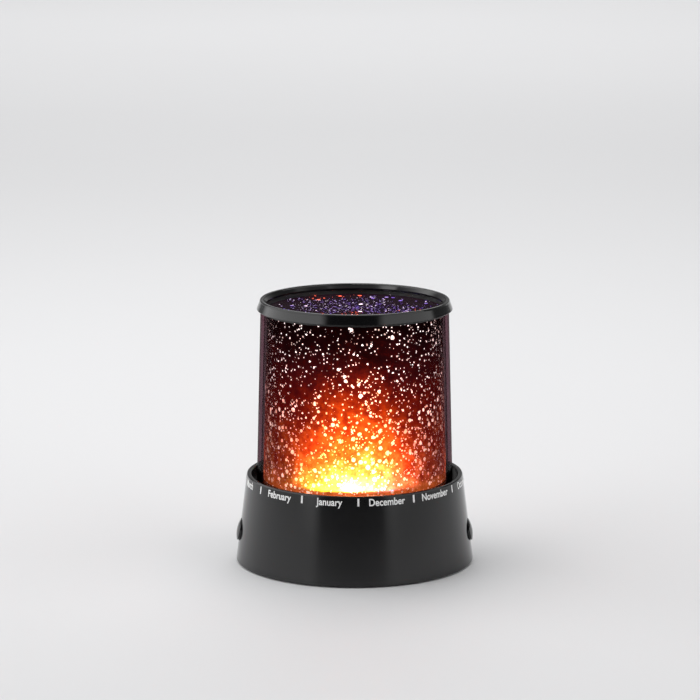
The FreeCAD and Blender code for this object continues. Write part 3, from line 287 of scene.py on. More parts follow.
def laminate(name, mask, copper, pitch):
    """A circuit board: solder mask over tracks at a pitch, with a bare edge."""
    s = Shader(name)
    sway = s.noise(scale=45.0, detail=0.0)
    rows = s.calc("PINGPONG", s.weighted((s.along("X"), 1.0), (sway, TRACK_SWAY_ACROSS)), pitch)
    lanes = s.calc("PINGPONG", s.weighted((s.along("Y"), 1.0), (sway, -TRACK_SWAY_ALONG)), pitch * 1.3)
    on_row = s.calc("LESS_THAN", rows, pitch * 0.16)
    on_lane = s.calc("LESS_THAN", lanes, pitch * 0.14)
    here = s.spread(s.noise(scale=130.0, detail=1.0), 0.47, 0.5)
    track = s.calc("MULTIPLY", s.calc("MAXIMUM", on_row, on_lane), here)
    weave = s.noise(scale=2500.0, detail=2.0)
    face = s.tint(track, s.tint(weave, mask, scaled(mask, 0.8)), copper)
    normal = s.add("TexCoord").outputs["Normal"]
    upright = s.calc("ABSOLUTE", s.add("SeparateXYZ", {"Vector": normal}).outputs["Z"])
    edge = s.tint(weave, (0.42, 0.36, 0.16), (0.34, 0.29, 0.13))
    return s.finish(s.principled(
        Base_Color=s.tint(s.spread(upright, 0.2, 0.6), edge, face),
        Roughness=s.spread(weave, NOISE_LOW, NOISE_HIGH, 0.3, 0.42),
        Normal=s.bump(s.weighted((track, 0.8), (weave, 0.2)), TRACK_DEPTH)))


CELL_RING = 11 * MM
CELL_BARE_END = 2.1 * MM
CELL_WRINKLE_DEPTH = 0.02 * MM


def cell_sleeve():
    """A printed film sleeve on a cell, with a pale ring near each end and bare steel beyond."""
    s = Shader("cell_sleeve")
    low, high = (corner[1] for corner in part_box("battery_cell_1"))
    reach = (high - low) / 2
    along = s.calc("ABSOLUTE", s.along("Y"))
    cloud = s.spread(s.noise(scale=900.0), 0.35, 0.65)
    wrap = s.tint(cloud, (0.02, 0.11, 0.22), (0.03, 0.14, 0.27))
    ring = s.tint(s.calc("GREATER_THAN", along, reach - CELL_RING), wrap, (0.62, 0.64, 0.66))
    bare = s.calc("GREATER_THAN", along, reach - CELL_BARE_END)
    return s.finish(s.principled(
        Base_Color=s.tint(bare, ring, (0.55, 0.55, 0.56)),
        Metallic=s.calc("MAXIMUM", bare, 0.25),
        Roughness=s.uneven(scale=300.0, least=0.24, most=0.36),
        Normal=s.bump(s.noise(scale=500.0, detail=2.0), CELL_WRINKLE_DEPTH)))


WINDING_PITCH = 0.25 * MM
WINDING_DEPTH = 0.2 * MM


def wound_armature():
    """Copper windings between stacked plates."""
    s = Shader("wound_armature")
    turns = s.calc("PINGPONG", s.along("Z"), WINDING_PITCH)
    patch = s.spread(s.noise(scale=200.0, detail=2.0), 0.4, 0.6)
    return s.finish(s.principled(
        Base_Color=s.tint(patch, (0.55, 0.2, 0.07), (0.7, 0.3, 0.12)),
        Metallic=1.0,
        Roughness=0.32,
        Normal=s.bump(turns, WINDING_DEPTH)))


# How far under a lens's top its heart begins and is brightest
HEART_FOOT = 7 * MM
HEART_TOP = 2 * MM


def lens(lamp, colour, strength):
    """A clear epoxy lamp: a tinted skin that light passes, and a heart that shines."""
    s = Shader("lens_" + lamp)
    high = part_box("led_" + lamp)[1][2]
    heart = s.spread(s.along("Z"), high - HEART_FOOT, high - HEART_TOP)
    paler = tuple(0.8 * part + 0.2 for part in colour)
    skin = s.principled(
        Base_Color=s.tint(s.noise(scale=400.0, detail=2.0), colour, paler),
        Roughness=s.uneven(scale=700.0, least=0.06, most=0.12, detail=2.0),
        Emission_Color=colour,
        Emission_Strength=s.calc("MULTIPLY", heart, strength))
    return s.finish(s.mixed(0.35, s.see_through(colour), skin))


# Printed stars

STAR_WOBBLE = 0.7 * MM
STAR_WOBBLE_SCALE = 1100.0
STAR_SOFT_EDGE = 0.06 * MM
FIELD_SHIFT = (0.37, 0.61)
FINE_PITCH = 2.1 * MM
DUST_PITCH = 1.8 * MM
DUST_RADII = (0.17 * MM, 0.34 * MM)
DUST_RARITY = 2.0
LARGE_PITCH = 3.1 * MM
LARGE_RADII = (0.35 * MM, 1.1 * MM)
LARGE_RARITY = 1.4


class Stars:
    """Irregular dots scattered over a flat place, each with random numbers of its own.

    crowd is the share of places that have a dot, and a higher rarity makes wide dots rarer.
    """

    def __init__(self, s, flat, field, pitch, radii, rarity, crowd):
        moved = s.calc_vector("ADD", flat, (*(field * part for part in FIELD_SHIFT), 0.0))
        inputs = {"Vector": moved, "Scale": STAR_WOBBLE_SCALE, "Detail": 1.0}
        stir = s.add("TexNoise", inputs).outputs["Color"]
        centred = s.calc_vector("SUBTRACT", stir, (0.5, 0.5, 0.5))
        push = s.calc_vector("MULTIPLY", centred, (STAR_WOBBLE,) * 3)
        inputs = {"Vector": s.calc_vector("ADD", moved, push), "Scale": 1 / pitch}
        dots = s.add("TexVoronoi", inputs, voronoi_dimensions="2D")
        draws = s.add("SeparateColor", {"Color": dots.outputs["Color"]})
        least, most = (radius / pitch for radius in radii)
        size = s.spread(s.calc("POWER", draws.outputs["Red"], rarity), 0.0, 1.0, least, most)
        reach = s.calc("SUBTRACT", size, dots.outputs["Distance"])
        there = s.calc("LESS_THAN", draws.outputs["Blue"], crowd)
        self.share = s.calc("MULTIPLY", there, s.spread(reach, 0.0, STAR_SOFT_EDGE / pitch))
        self.hue = draws.outputs["Green"]


def star_field(s, flat, radii, rarity, crowd, powder, often):
    """Fine stars, dust and a few large stars: where they are, and the fine and large ones' draws."""
    fine = Stars(s, flat, 1, FINE_PITCH, radii, rarity, crowd)
    dust_crowd = s.calc("MULTIPLY", crowd, powder)
    dust = Stars(s, flat, 2, DUST_PITCH, DUST_RADII, DUST_RARITY, dust_crowd)
    large = Stars(s, flat, 3, LARGE_PITCH, LARGE_RADII, LARGE_RARITY, often)
    stars = s.calc("MAXIMUM", s.calc("MAXIMUM", fine.share, dust.share), large.share)
    return stars, fine.hue, large.hue


# The film bends light by this, spreads it by a close, an uneven middling and a wide roughness,
# and mixes the three by these shares
FILM_IOR = 2.0
FILM_CLOSE = 0.32
FILM_MIDDLING = (0.46, 0.58)
FILM_WIDE = 0.8
FILM_WIDE_TINT = (1.0, 0.42, 0.35)
FILM_MIDDLING_SHARE = 0.5
FILM_WIDE_SHARE = 0.22
FILM_INK = (0.02, 0.003, 0.004)
FILM_INK_MOST = 0.9


def printed_film(s, stars, clear, glow, painted_star_colour, painted_star_strength):
    """Film that passes light coloured by clear, with a faint painted glow and stars that shine, both
    emission standing in for the lamps' light through it.
    """
    middling_roughness = s.uneven(90.0, *FILM_MIDDLING)
    redder = s.calc_vector("MULTIPLY", clear, FILM_WIDE_TINT)
    lobes = ((clear, FILM_CLOSE), (clear, middling_roughness), (redder, FILM_WIDE))
    close, middling, wide = (
        s.add("BsdfRefraction", {"Color": colour, "Roughness": roughness, "IOR": FILM_IOR}).outputs[0]
        for colour, roughness in lobes)
    through = s.mixed(FILM_WIDE_SHARE, s.mixed(FILM_MIDDLING_SHARE, close, middling), wide)
    ink = s.add("BsdfDiffuse", {"Color": FILM_INK}).outputs[0]
    through = s.mixed(s.skin_share(0.0, FILM_INK_MOST), through, ink)
    # Painted light: the glow and the stars' shine are emission for the lamps' light passing through the
    # film
    painted_glow_emission = s.add("Emission", {"Color": glow, "Strength": 1.0}).outputs[0]
    strength = s.calc("MULTIPLY", stars, painted_star_strength)
    painted_star_emission = s.add("Emission", {"Color": painted_star_colour, "Strength": strength}).outputs[0]
    body = s.add("AddShader", {0: through, 1: painted_glow_emission}).outputs[0]
    return s.finish(s.add("AddShader", {0: body, 1: painted_star_emission}).outputs[0])


# The disc's stars are crowded in its middle and thin out to its edge
DISC_CROWDED = 12 * MM
DISC_SPARSE = 34 * MM
DISC_STIR = 14 * MM
DISC_RADII = (0.18 * MM, 0.46 * MM)
DISC_RARITY = 1.6
DISC_FILM = (0.02, 0.006, 0.02)
PAINTED_DISC_GLOW = (0.004, 0.0012, 0.005)
PAINTED_DISC_STAR_STRENGTH = 2.8


def star_disc():
    """The film on top of the drum: near black, with violet and white stars and red patches; its faint
    glow and the stars' shine are painted light of the lamps below.
    """
    s = Shader("star_disc_print_and_painted_glow")
    level = s.calc_vector("MULTIPLY", s.place, (1.0, 1.0, 0.0))
    out = s.add("VectorMath", {0: level}, operation="LENGTH").outputs["Value"]
    stirred = s.calc("ADD", out, s.uneven(60.0, -DISC_STIR, DISC_STIR))
    crowd = s.spread(stirred, DISC_SPARSE, DISC_CROWDED, 0.04, 1.0)
    stars, hue, _ = star_field(s, s.place, DISC_RADII, DISC_RARITY, crowd, powder=0.35, often=0.1)
    # Painted star light: the stars' violet, white and red shine is emission for the lamps' light through
    # them
    painted_star_colour = s.tint(s.calc("POWER", hue, 3.0), (0.05, 0.018, 0.34), (1.0, 0.86, 1.0))
    red_patch = s.calc("GREATER_THAN", s.noise(scale=45.0), 0.6)
    painted_star_colour = s.tint(red_patch, painted_star_colour, (0.9, 0.1, 0.05))
    clear = s.tint(stars, DISC_FILM, (1.0, 0.7, 0.4))
    return printed_film(s, stars, clear, PAINTED_DISC_GLOW, painted_star_colour, PAINTED_DISC_STAR_STRENGTH)


FILM_RADII = (0.22 * MM, 0.48 * MM)
FILM_RARITY = 1.2
# Heights between which a part of the film changes (the print's dust and large stars, the painted warmth
# of the stars' light and the painted glow at the foot), and how far noise moves the change
DUST_HEIGHTS = (100 * MM, 62 * MM)
LARGE_HEIGHTS = (92 * MM, 72 * MM)
LARGE_STIR = 12 * MM
PAINTED_WARM_HEIGHTS = (96 * MM, 62 * MM)
PAINTED_FOOT_HEIGHTS = (44.5 * MM, 41.5 * MM)
# The ramps below run from 0 to 1 between these
RAMP_HEIGHTS = (38 * MM, 118 * MM)
RAMP_STIR = 9 * MM
# What passes the plain film and what passes a star, darkening up the film as painted shade where the
# lamps' light grows weak, and a faint glow painted on the plain film for the lamps' light through it
PAINTED_FADE_FILM_PASSES = (
    (0.0, (1.0, 0.5, 0.2)), (0.12, (1.0, 0.42, 0.14)), (0.2, (0.9, 0.32, 0.08)),
    (0.3, (0.55, 0.16, 0.025)), (0.45, (0.2, 0.036, 0.003)), (0.62, (0.08, 0.009, 0.001)),
    (0.75, (0.04, 0.004, 0.0005)), (0.92, (0.008, 0.0008, 0.0005)))
PAINTED_FADE_STAR_PASSES = (
    (0.0, (1.0, 0.95, 0.8)), (0.2, (1.0, 0.8, 0.5)), (0.35, (0.9, 0.5, 0.18)),
    (0.6, (0.7, 0.35, 0.12)), (0.8, (0.3, 0.16, 0.1)))
PAINTED_FILM_GLOW = (
    (0.0, (0.4, 0.06, 0.02)), (0.1, (0.11, 0.007, 0.007)), (0.28, (0.09, 0.005, 0.005)),
    (0.52, (0.065, 0.003, 0.003)), (0.7, (0.03, 0.003, 0.004)), (0.84, (0.009, 0.0015, 0.002)),
    (0.95, (0.003, 0.0006, 0.0008)))
PAINTED_FOOT_GLOW = (0.4, 0.08, 0.018)
BLOT_TINT = (0.45, 0.3, 0.25)
CLOUD_TINT = (0.7, 0.5, 0.4)


def star_film():
    """The film round the drum: orange low down, near black on top, with warm and white stars; the fade,
    the glow and the stars' shine are painted light of the lamps inside.
    """
    s = Shader("star_film_print_and_painted_glow")
    up = s.along("Z")
    ahead = s.calc("MULTIPLY", s.along("Y"), -1.0)
    round_way = s.calc("MULTIPLY", s.calc("ARCTAN2", s.along("X"), ahead), FILM_FOOT_RADIUS)
    flat = s.add("CombineXYZ", {"X": round_way, "Y": up}).outputs[0]

    swarms = s.spread(s.noise(scale=75.0, roughness=0.6), 0.38, 0.62, 0.35, 1.0)
    clusters = s.spread(s.noise(scale=330.0, roughness=0.6), 0.42, 0.58, 0.2, 0.85)
    crowd = s.calc("MULTIPLY", swarms, clusters)
    powder = s.spread(up, *DUST_HEIGHTS, 0.45, 0.9)
    moved = s.calc("ADD", up, s.uneven(110.0, -LARGE_STIR, LARGE_STIR))
    groups = s.spread(s.noise(scale=190.0, detail=2.0), 0.42, 0.58, 0.3, 1.0)
    often = s.calc("MULTIPLY", s.spread(moved, *LARGE_HEIGHTS, 0.03, 1.0), groups)
    stars, fine_hue, large_hue = star_field(s, flat, FILM_RADII, FILM_RARITY, crowd, powder, often)

    stir = s.spread(s.noise(scale=70.0, detail=4.0, roughness=0.6), 0.25, 0.75, -RAMP_STIR, RAMP_STIR)
    height = s.calc("ADD", up, stir)
    share = s.spread(height, *RAMP_HEIGHTS)
    # Painted shade: what the film lets through fades from orange at the foot to near black on top
    plain = s.ramp(share, *PAINTED_FADE_FILM_PASSES)
    blots = s.spread(s.noise(scale=300.0, roughness=0.65), 0.38, 0.62)
    plain = s.tint(blots, s.calc_vector("MULTIPLY", plain, BLOT_TINT), plain)
    clouds = s.spread(s.noise(scale=110.0, roughness=0.6), 0.4, 0.6)
    plain = s.tint(clouds, s.calc_vector("MULTIPLY", plain, CLOUD_TINT), plain)
    clear = s.tint(stars, plain, s.ramp(share, *PAINTED_FADE_STAR_PASSES))
    # Painted glow of the plain film, brighter at its foot, standing in for the lamps' light through it
    glow = s.tint(s.spread(up, *PAINTED_FOOT_HEIGHTS), s.ramp(share, *PAINTED_FILM_GLOW), PAINTED_FOOT_GLOW)

    # Painted star light: lower down, nearer the lamps, the stars shine warmer and up to 2.6 times
    # brighter
    painted_warm_share = s.spread(height, *PAINTED_WARM_HEIGHTS)
    painted_high_star_colour = s.tint(fine_hue, (1.0, 0.75, 0.66), (1.0, 0.97, 0.95))
    painted_low_star_colour = s.tint(large_hue, (1.0, 0.46, 0.3), (1.0, 0.84, 0.7))
    painted_star_colour = s.tint(painted_warm_share, painted_high_star_colour, painted_low_star_colour)
    dimmer = s.spread(fine_hue, 0.0, 0.6, 0.3, 1.0)
    painted_star_strength = s.calc("MULTIPLY", s.spread(painted_warm_share, 0.0, 1.0, 2.6, 1.0), dimmer)
    return printed_film(s, stars, clear, glow, painted_star_colour, painted_star_strength)


def unseen_back(name):
    """The inner face of the film, which lets all light by."""
    s = Shader(name)
    return s.finish(s.see_through(WHITE))


# Clear plastics and the print on the base

def clear_plastic(name, gloss, haze):
    """Thin clear plastic: see-through, with faint haze and a skin of that gloss edge on."""
    s = Shader(name)
    skin = s.gloss(scale=260.0, least=0.03, most=0.09)
    fog = s.add("BsdfDiffuse", {"Color": (0.8, 0.8, 0.82)}).outputs[0]
    cloud = s.uneven(scale=90.0, least=0.0, most=haze)
    body = s.mixed(cloud, s.see_through((0.97, 0.97, 0.98)), fog)
    return s.finish(s.mixed(s.skin_share(0.04 * gloss, gloss), body, skin))


# How far the glue that holds the cap ring runs down from the sleeve's top, at most and at least
GLUE_MOST = 2.9 * MM
GLUE_LEAST = 2.6 * MM


def clear_sleeve():
    """Faintly tinted clear acrylic, darker edge on, with black glue under the cap ring."""
    s = Shader("clear_sleeve")
    skin = s.gloss(scale=120.0, least=0.02, most=0.07)
    edge_on = s.calc("POWER", s.aslant(), 2.5)
    body = s.see_through(s.tint(edge_on, WHITE, (0.1, 0.012, 0.03)))
    glossy = s.mixed(s.skin_share(0.0, 0.09), body, skin)
    glue_foot = s.uneven(400.0, SLEEVE_HIGH - GLUE_MOST, SLEEVE_HIGH - GLUE_LEAST, detail=2.0)
    glued = s.calc("GREATER_THAN", s.along("Z"), glue_foot)
    glue_colour = s.tint(s.noise(scale=300.0), (0.004, 0.004, 0.004), (0.008, 0.008, 0.008))
    glue = s.principled(Base_Color=glue_colour, Roughness=0.5)
    smoke = s.add("VolumeAbsorption", {"Color": (0.62, 0.32, 0.44), "Density": 120.0}).outputs[0]
    return s.finish(s.mixed(glued, glossy, glue), smoke)


FINE_GRAIN_DEPTH = 0.01 * MM


def milky_plastic(name, colour, clear):
    """Natural nylon or polypropylene: light passes and spreads in it."""
    s = Shader(name)
    cloud = s.noise(scale=120.0)
    inside = s.tint(cloud, colour, scaled(colour, 0.9))
    through = s.add("BsdfTranslucent", {"Color": inside}).outputs[0]
    skin = s.principled(
        Base_Color=s.tint(cloud, colour, scaled(colour, 0.92)),
        Roughness=s.uneven(scale=500.0, least=0.36, most=0.5),
        Normal=s.bump(s.noise(scale=800.0, detail=2.0), FINE_GRAIN_DEPTH))
    return s.finish(s.mixed(0.4, s.mixed(clear, through, s.see_through(colour)), skin))


def white_print():
    """Screen-printed white paint, unevenly thick."""
    s = Shader("white_print")
    thick = s.spread(s.noise(scale=1500.0), 0.3, 0.62)
    return s.finish(s.principled(
        Base_Color=s.tint(thick, (0.78, 0.78, 0.78), (0.93, 0.93, 0.92)),
        Roughness=s.uneven(scale=600.0, least=0.38, most=0.5, detail=2.0),
        Normal=s.bump(s.noise(scale=2200.0, detail=2.0), FINE_GRAIN_DEPTH)))


# Meshes

def new_piece(name, mesh, materials, body, slot, *replaced):
    """Links a mesh as a piece that rides on a body and may stand for CAD nodes; slot is not used."""
    piece = bpy.data.objects.new(name, mesh)
    bpy.context.scene.collection.objects.link(piece)
    for material in materials:
        mesh.materials.append(material)
    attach(piece, body)
    if replaced:
        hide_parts(*replaced)
    return piece


def arc(centre, radius, start, end, steps):
    """Points (radius, height) on an arc of an outline, angles in degrees from outward."""
    angles = [math.radians(start + (end - start) * step / steps) for step in range(steps + 1)]
    return [(centre[0] + radius * math.cos(angle), centre[1] + radius * math.sin(angle))
            for angle in angles]


def lathe(outline, inner_faces=()):
    """A closed solid of revolution about Z; outline rows in inner_faces take the second material."""
    bm = bmesh.new()
    rings = []
    for radius, height in outline:
        ring = []
        for step in range(LATHE_SEGMENTS):
            angle = 2 * math.pi * step / LATHE_SEGMENTS
            ring.append(bm.verts.new((radius * math.cos(angle), radius * math.sin(angle), height)))
        rings.append(ring)
    for row, ring in enumerate(rings):
        following = rings[(row + 1) % len(rings)]
        for step in range(LATHE_SEGMENTS):
            after = (step + 1) % LATHE_SEGMENTS
            face = bm.faces.new((ring[step], ring[after], following[after], following[step]))
            face.smooth = True
            face.material_index = 1 if row in inner_faces else 0
    bmesh.ops.recalc_face_normals(bm, faces=bm.faces)
    mesh = bpy.data.meshes.new("lathe")
    bm.to_mesh(mesh)
    bm.free()
    return mesh


def sleeve_outer(height):
    """Radius of the clear sleeve's outside."""
    return SLEEVE_FOOT_RADIUS - SLEEVE_SLOPE * (height - SLEEVE_LOW)


def make_sleeve(material):
    """The clear sleeve with rounded ends."""
    outline = []
    for height, side in ((SLEEVE_LOW, -1), (SLEEVE_HIGH, 1)):
        outer = sleeve_outer(height)
        middle = height - side * SLEEVE_EDGE
        corners = [(outer - SLEEVE_EDGE, middle), (outer - SLEEVE_WALL + SLEEVE_EDGE, middle)]
        turns = ((0, 90), (90, 180)) if side > 0 else ((180, 270), (270, 360))
        if side < 0:
            corners.reverse()
        for corner, (start, end) in zip(corners, turns):
            outline += arc(corner, SLEEVE_EDGE, start, end, SLEEVE_EDGE_STEPS)
    new_piece("clear_shade", lathe(outline), [material], "shade", "clear_sleeve", "shade_sleeve")


def film_radius(height):
    """Radius of the star film's outside, which keeps one gap to the sleeve."""
    return FILM_FOOT_RADIUS - SLEEVE_SLOPE * (height - FILM_LOW)


def make_film(film, back):
    """The star film round the drum, a closed thin shell whose inner face lets light by."""
    outline = [
        (film_radius(FILM_LOW), FILM_LOW),
        (film_radius(FILM_HIGH), FILM_HIGH),
        (film_radius(FILM_HIGH) - FILM_THICKNESS, FILM_HIGH),
        (film_radius(FILM_LOW) - FILM_THICKNESS, FILM_LOW),
    ]
    new_piece("star_film", lathe(outline, (1, 2, 3)), [film, back], "drum", "star_film", "star_film_wrap")


# Screws

SCREW_CIRCLE = 47.0 * MM
SCREW_AZIMUTHS = (40, 140, 220, 320)
CROSS_REACH = 2.5 * MM
CROSS_WIDTH = 0.55 * MM
CROSS_DEPTH = 0.75 * MM
CROSS_TAPER_SHARE = 0.6


def make_cover_screws(material):
    """The cover's screws with a cross recess cut in each head, which faces down."""
    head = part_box("cover_screws")[0][2]
    bm = bmesh.new()
    for azimuth in SCREW_AZIMUTHS:
        x, y = (SCREW_CIRCLE * turn(math.radians(azimuth)) for turn in (math.cos, math.sin))
        for long, short in ((CROSS_REACH, CROSS_WIDTH), (CROSS_WIDTH, CROSS_REACH)):
            for vertex in bmesh.ops.create_cube(bm, size=1.0)["verts"]:
                share = CROSS_TAPER_SHARE if vertex.co.z > 0 else 1.0
                vertex.co = (x + vertex.co.x * long * share, y + vertex.co.y * short * share,
                             head + vertex.co.z * 2 * CROSS_DEPTH)
    crosses = bpy.data.meshes.new("crosses")
    bm.to_mesh(crosses)
    bm.free()
    screws = NODES["cover_screws"].data.copy()
    tool, plain = (bpy.data.objects.new("screw_work", mesh) for mesh in (crosses, screws))
    for holder in (tool, plain):
        bpy.context.scene.collection.objects.link(holder)
    recess = plain.modifiers.new("recess", "BOOLEAN")
    recess.object = tool
    recess.operation = "DIFFERENCE"
    recess.solver = "EXACT"
    recess.use_self = True
    bpy.context.view_layer.update()
    mesh = bpy.data.meshes.new_from_object(plain.evaluated_get(bpy.context.evaluated_depsgraph_get()))
    for holder in (tool, plain):
        bpy.data.objects.remove(holder)
    mesh.materials.clear()
    new_piece("cross_screws", mesh, [material], "base", "screw_steel", "cover_screws")


# Month scale

SCALE_STEP = math.radians(30)
SCALE_START = math.radians(1.8)
TICK_LOW = 36.7 * MM
TICK_HIGH = 40.1 * MM
TICK_WIDTH = 0.85 * MM
PRINT_RISE = 0.1 * MM
NAME_HEIGHT = 3.3 * MM
NAME_MIDDLE = 38.4 * MM
NAME_BOLDER = 0.08 * MM
NAME_SQUEEZE_SHARE = 0.88
# Names run round the base from the front to the right, where the scale counts down
MONTHS = ("December", "November", "October", "September", "August", "July",
          "June", "May", "April", "March", "February", "January")
FONT_CAPITAL_SHARE = 0.73
STRIP_WIDTH = 0.8 * MM


def on_cone(azimuth, height, proud):
    """A point on the base's side; azimuth is from the front, positive to the right."""
    radius = BASE_FOOT_RADIUS - BASE_SLOPE * height + proud
    return Vector((radius * math.sin(azimuth), -radius * math.cos(azimuth), height))


def wrapped(mesh, azimuth, middle):
    """Bends a flat mesh in X, Y and thickness Z round the base's side."""
    for vertex in mesh.vertices:
        x, y, z = vertex.co
        height = middle + y * math.cos(math.atan(BASE_SLOPE))
        radius = BASE_FOOT_RADIUS - BASE_SLOPE * height
        vertex.co = on_cone(azimuth + x / radius, height, z)


def cut_across(bm):
    """Cuts a flat mesh into strips across X, so that it can bend."""
    reach = max(abs(vertex.co.x) for vertex in bm.verts)
    last = int(reach / STRIP_WIDTH)
    for place in range(-last, last + 1):
        bmesh.ops.bisect_plane(bm, geom=bm.verts[:] + bm.edges[:] + bm.faces[:],
                               plane_co=(place * STRIP_WIDTH, 0, 0), plane_no=(1, 0, 0))


def tick_mesh():
    """One division mark, a flat block centred on the origin."""
    bm = bmesh.new()
    bmesh.ops.create_cube(bm, size=1.0)
    bmesh.ops.scale(bm, vec=(TICK_WIDTH, TICK_HIGH - TICK_LOW, PRINT_RISE), verts=bm.verts)
    cut_across(bm)
    mesh = bpy.data.meshes.new("tick")
    bm.to_mesh(mesh)
    bm.free()
    return mesh


def name_mesh(text):
    """A word as a flat mesh with thickness, centred on the origin."""
    curve = bpy.data.curves.new("name", "FONT")
    curve.body = text
    curve.align_x = "CENTER"
    curve.size = NAME_HEIGHT / FONT_CAPITAL_SHARE
    curve.extrude = PRINT_RISE / 2
    curve.offset = NAME_BOLDER
    holder = bpy.data.objects.new("name", curve)
    bpy.context.scene.collection.objects.link(holder)
    bpy.context.view_layer.update()
    mesh = bpy.data.meshes.new_from_object(holder)
    bpy.data.objects.remove(holder)
    bm = bmesh.new()
    bm.from_mesh(mesh)
    for vertex in bm.verts:
        vertex.co.x *= NAME_SQUEEZE_SHARE
        vertex.co.y -= NAME_HEIGHT / 2
    cut_across(bm)
    bm.to_mesh(mesh)
    bm.free()
    return mesh


def make_month_scale(material):
    """Twelve ticks and the names of the months between them, as one printed piece."""
    bm = bmesh.new()
    for place, name in enumerate(MONTHS):
        azimuth = SCALE_START + place * SCALE_STEP
        tick = tick_mesh()
        wrapped(tick, azimuth, (TICK_LOW + TICK_HIGH) / 2)
        bm.from_mesh(tick)
        word = name_mesh(name)
        wrapped(word, azimuth + SCALE_STEP / 2, NAME_MIDDLE)
        bm.from_mesh(word)
    mesh = bpy.data.meshes.new("month_scale")
    bm.to_mesh(mesh)
    bm.free()
    new_piece("month_scale", mesh, [material], "base", "housing")


# Studio

FLOOR_RADIUS = 9.0
FLOOR_SEGMENTS = 96
# The surroundings' brightness by azimuth in degrees, from the front and positive to the right
SURROUND_LEVELS = (
    (-180, 0.25), (-140, 0.25), (-128, 1.9), (-44, 2.0), (-34, 0.03), (28, 0.03),
    (38, 1.3), (104, 1.3), (110, 0.12), (140, 0.12), (160, 0.4), (180, 0.25))
SURROUND_STRENGTH = 2.0
# They fade to the sky's level between these upward parts of a direction
SKY_FROM = 0.62
SKY_FULL = 0.82
SKY_LEVEL = 0.3
# Each soft panel's place, side in metres and energy
PANELS = (("key_panel", (-0.12, 0.3, 1.1), 1.0, 8.0),
          ("back_panel", (0, 3.2, 2.0), 2.6, 36.0))
GLOW_COLOUR = (1.0, 0.55, 0.25)
LAMP_ENERGIES = (("white", 0.46), ("red", 0.035), ("green", 0.035), ("blue", 0.035))
LAMP_UNDER_TOP = 4.5 * MM
LAMP_RADIUS = 2.2 * MM
# The light that haze in the drum scatters, as weak lamps on the axis: height and energy
HAZE_LAMPS = (("haze_low", 62 * MM, 0.025), ("haze_high", 75 * MM, 0.018))
HAZE_RADIUS = 9 * MM


def make_stage():
    """A pale floor that reaches past the horizon of the photograph's view."""
    s = Shader("floor")
    floor_finish = s.finish(s.principled(
        Base_Color=s.tint(s.noise(scale=1.2), (0.70, 0.70, 0.71), (0.73, 0.73, 0.74)),
        Roughness=0.6,
        Specular_IOR_Level=0.2))
    bm = bmesh.new()
    bmesh.ops.create_circle(bm, cap_ends=True, segments=FLOOR_SEGMENTS, radius=FLOOR_RADIUS)
    mesh = bpy.data.meshes.new("floor")
    bm.to_mesh(mesh)
    bm.free()
    mesh.materials.append(floor_finish)
    floor = bpy.data.objects.new("floor", mesh)
    bpy.context.scene.collection.objects.link(floor)


def grey(level):
    """The grey that the surroundings' strength brings to a level."""
    return (level / SURROUND_STRENGTH,) * 3


def make_world():
    """Soft studio surroundings: broad pale panels to the left and right, dim in front and behind."""
    world = bpy.data.worlds.new("studio")
    world.use_nodes = True
    bpy.context.scene.world = world
    nodes = Nodes(world.node_tree)
    direction = nodes.add("TexCoord").outputs["Generated"]
    way = nodes.add("SeparateXYZ", {"Vector": direction}).outputs
    azimuth = nodes.calc("ARCTAN2", way["X"], nodes.calc("MULTIPLY", way["Y"], -1.0))
    share = nodes.spread(azimuth, -math.pi, math.pi)
    stops = [((degrees + 180) / 360, grey(level)) for degrees, level in SURROUND_LEVELS]
    panels = nodes.ramp(share, *stops)
    colour = nodes.tint(nodes.spread(way["Z"], SKY_FROM, SKY_FULL), panels, grey(SKY_LEVEL))
    background = nodes.add("Background", {"Color": colour, "Strength": SURROUND_STRENGTH}).outputs[0]
    nodes.add("OutputWorld", {"Surface": background})


def add_light(name, kind, place, energy, **settings):
    """A light at a place."""
    light = bpy.data.lights.new(name, kind)
    light.energy = energy
    for key, value in settings.items():
        setattr(light, key, value)
    holder = bpy.data.objects.new(name, light)
    holder.location = place
    bpy.context.scene.collection.objects.link(holder)
    return holder


def make_lights():
    """A soft panel over the table, a second one behind it, and the lamps inside the drum."""
    for name, place, side, energy in PANELS:
        panel = add_light(name, "AREA", place, energy, shape="SQUARE", size=side)
        panel.visible_camera = False
    for lamp, energy in LAMP_ENERGIES:
        low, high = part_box("led_" + lamp)
        place = ((low[0] + high[0]) / 2, (low[1] + high[1]) / 2, high[2] - LAMP_UNDER_TOP)
        add_light("lamp_" + lamp, "POINT", place, energy, color=GLOW_COLOUR, shadow_soft_size=LAMP_RADIUS)
    for name, height, energy in HAZE_LAMPS:
        add_light(name, "POINT", (0, 0, height), energy, color=GLOW_COLOUR, shadow_soft_size=HAZE_RADIUS)


def make_camera():
    """The photograph's view."""
    camera = bpy.data.cameras.new("camera")
    camera.lens = CAMERA_LENS
    camera.sensor_width = CAMERA_SENSOR
    holder = bpy.data.objects.new("camera", camera)
    holder.location = CAMERA_PLACE
    holder.rotation_euler = (CAMERA_PITCH, 0, 0)
    bpy.context.scene.collection.objects.link(holder)
    bpy.context.scene.camera = holder


# The whole object

SIDES = ("left", "right", "back")
ZINC = (0.66, 0.66, 0.68)
ZINC_ROUGHNESS = 0.32
SATIN_GRAIN = 0.03 * MM
GREEN_TRACK_PITCH = 1.6 * MM
WHITE_TRACK_PITCH = 2.1 * MM
# Each lamp's lens: its colour and how strongly its heart shines
LENSES = (("white", (1.0, 0.85, 0.6), 12.0), ("red", (1.0, 0.06, 0.03), 6.0),
          ("green", (0.1, 1.0, 0.15), 2.0), ("blue", (0.08, 0.16, 1.0), 2.0))


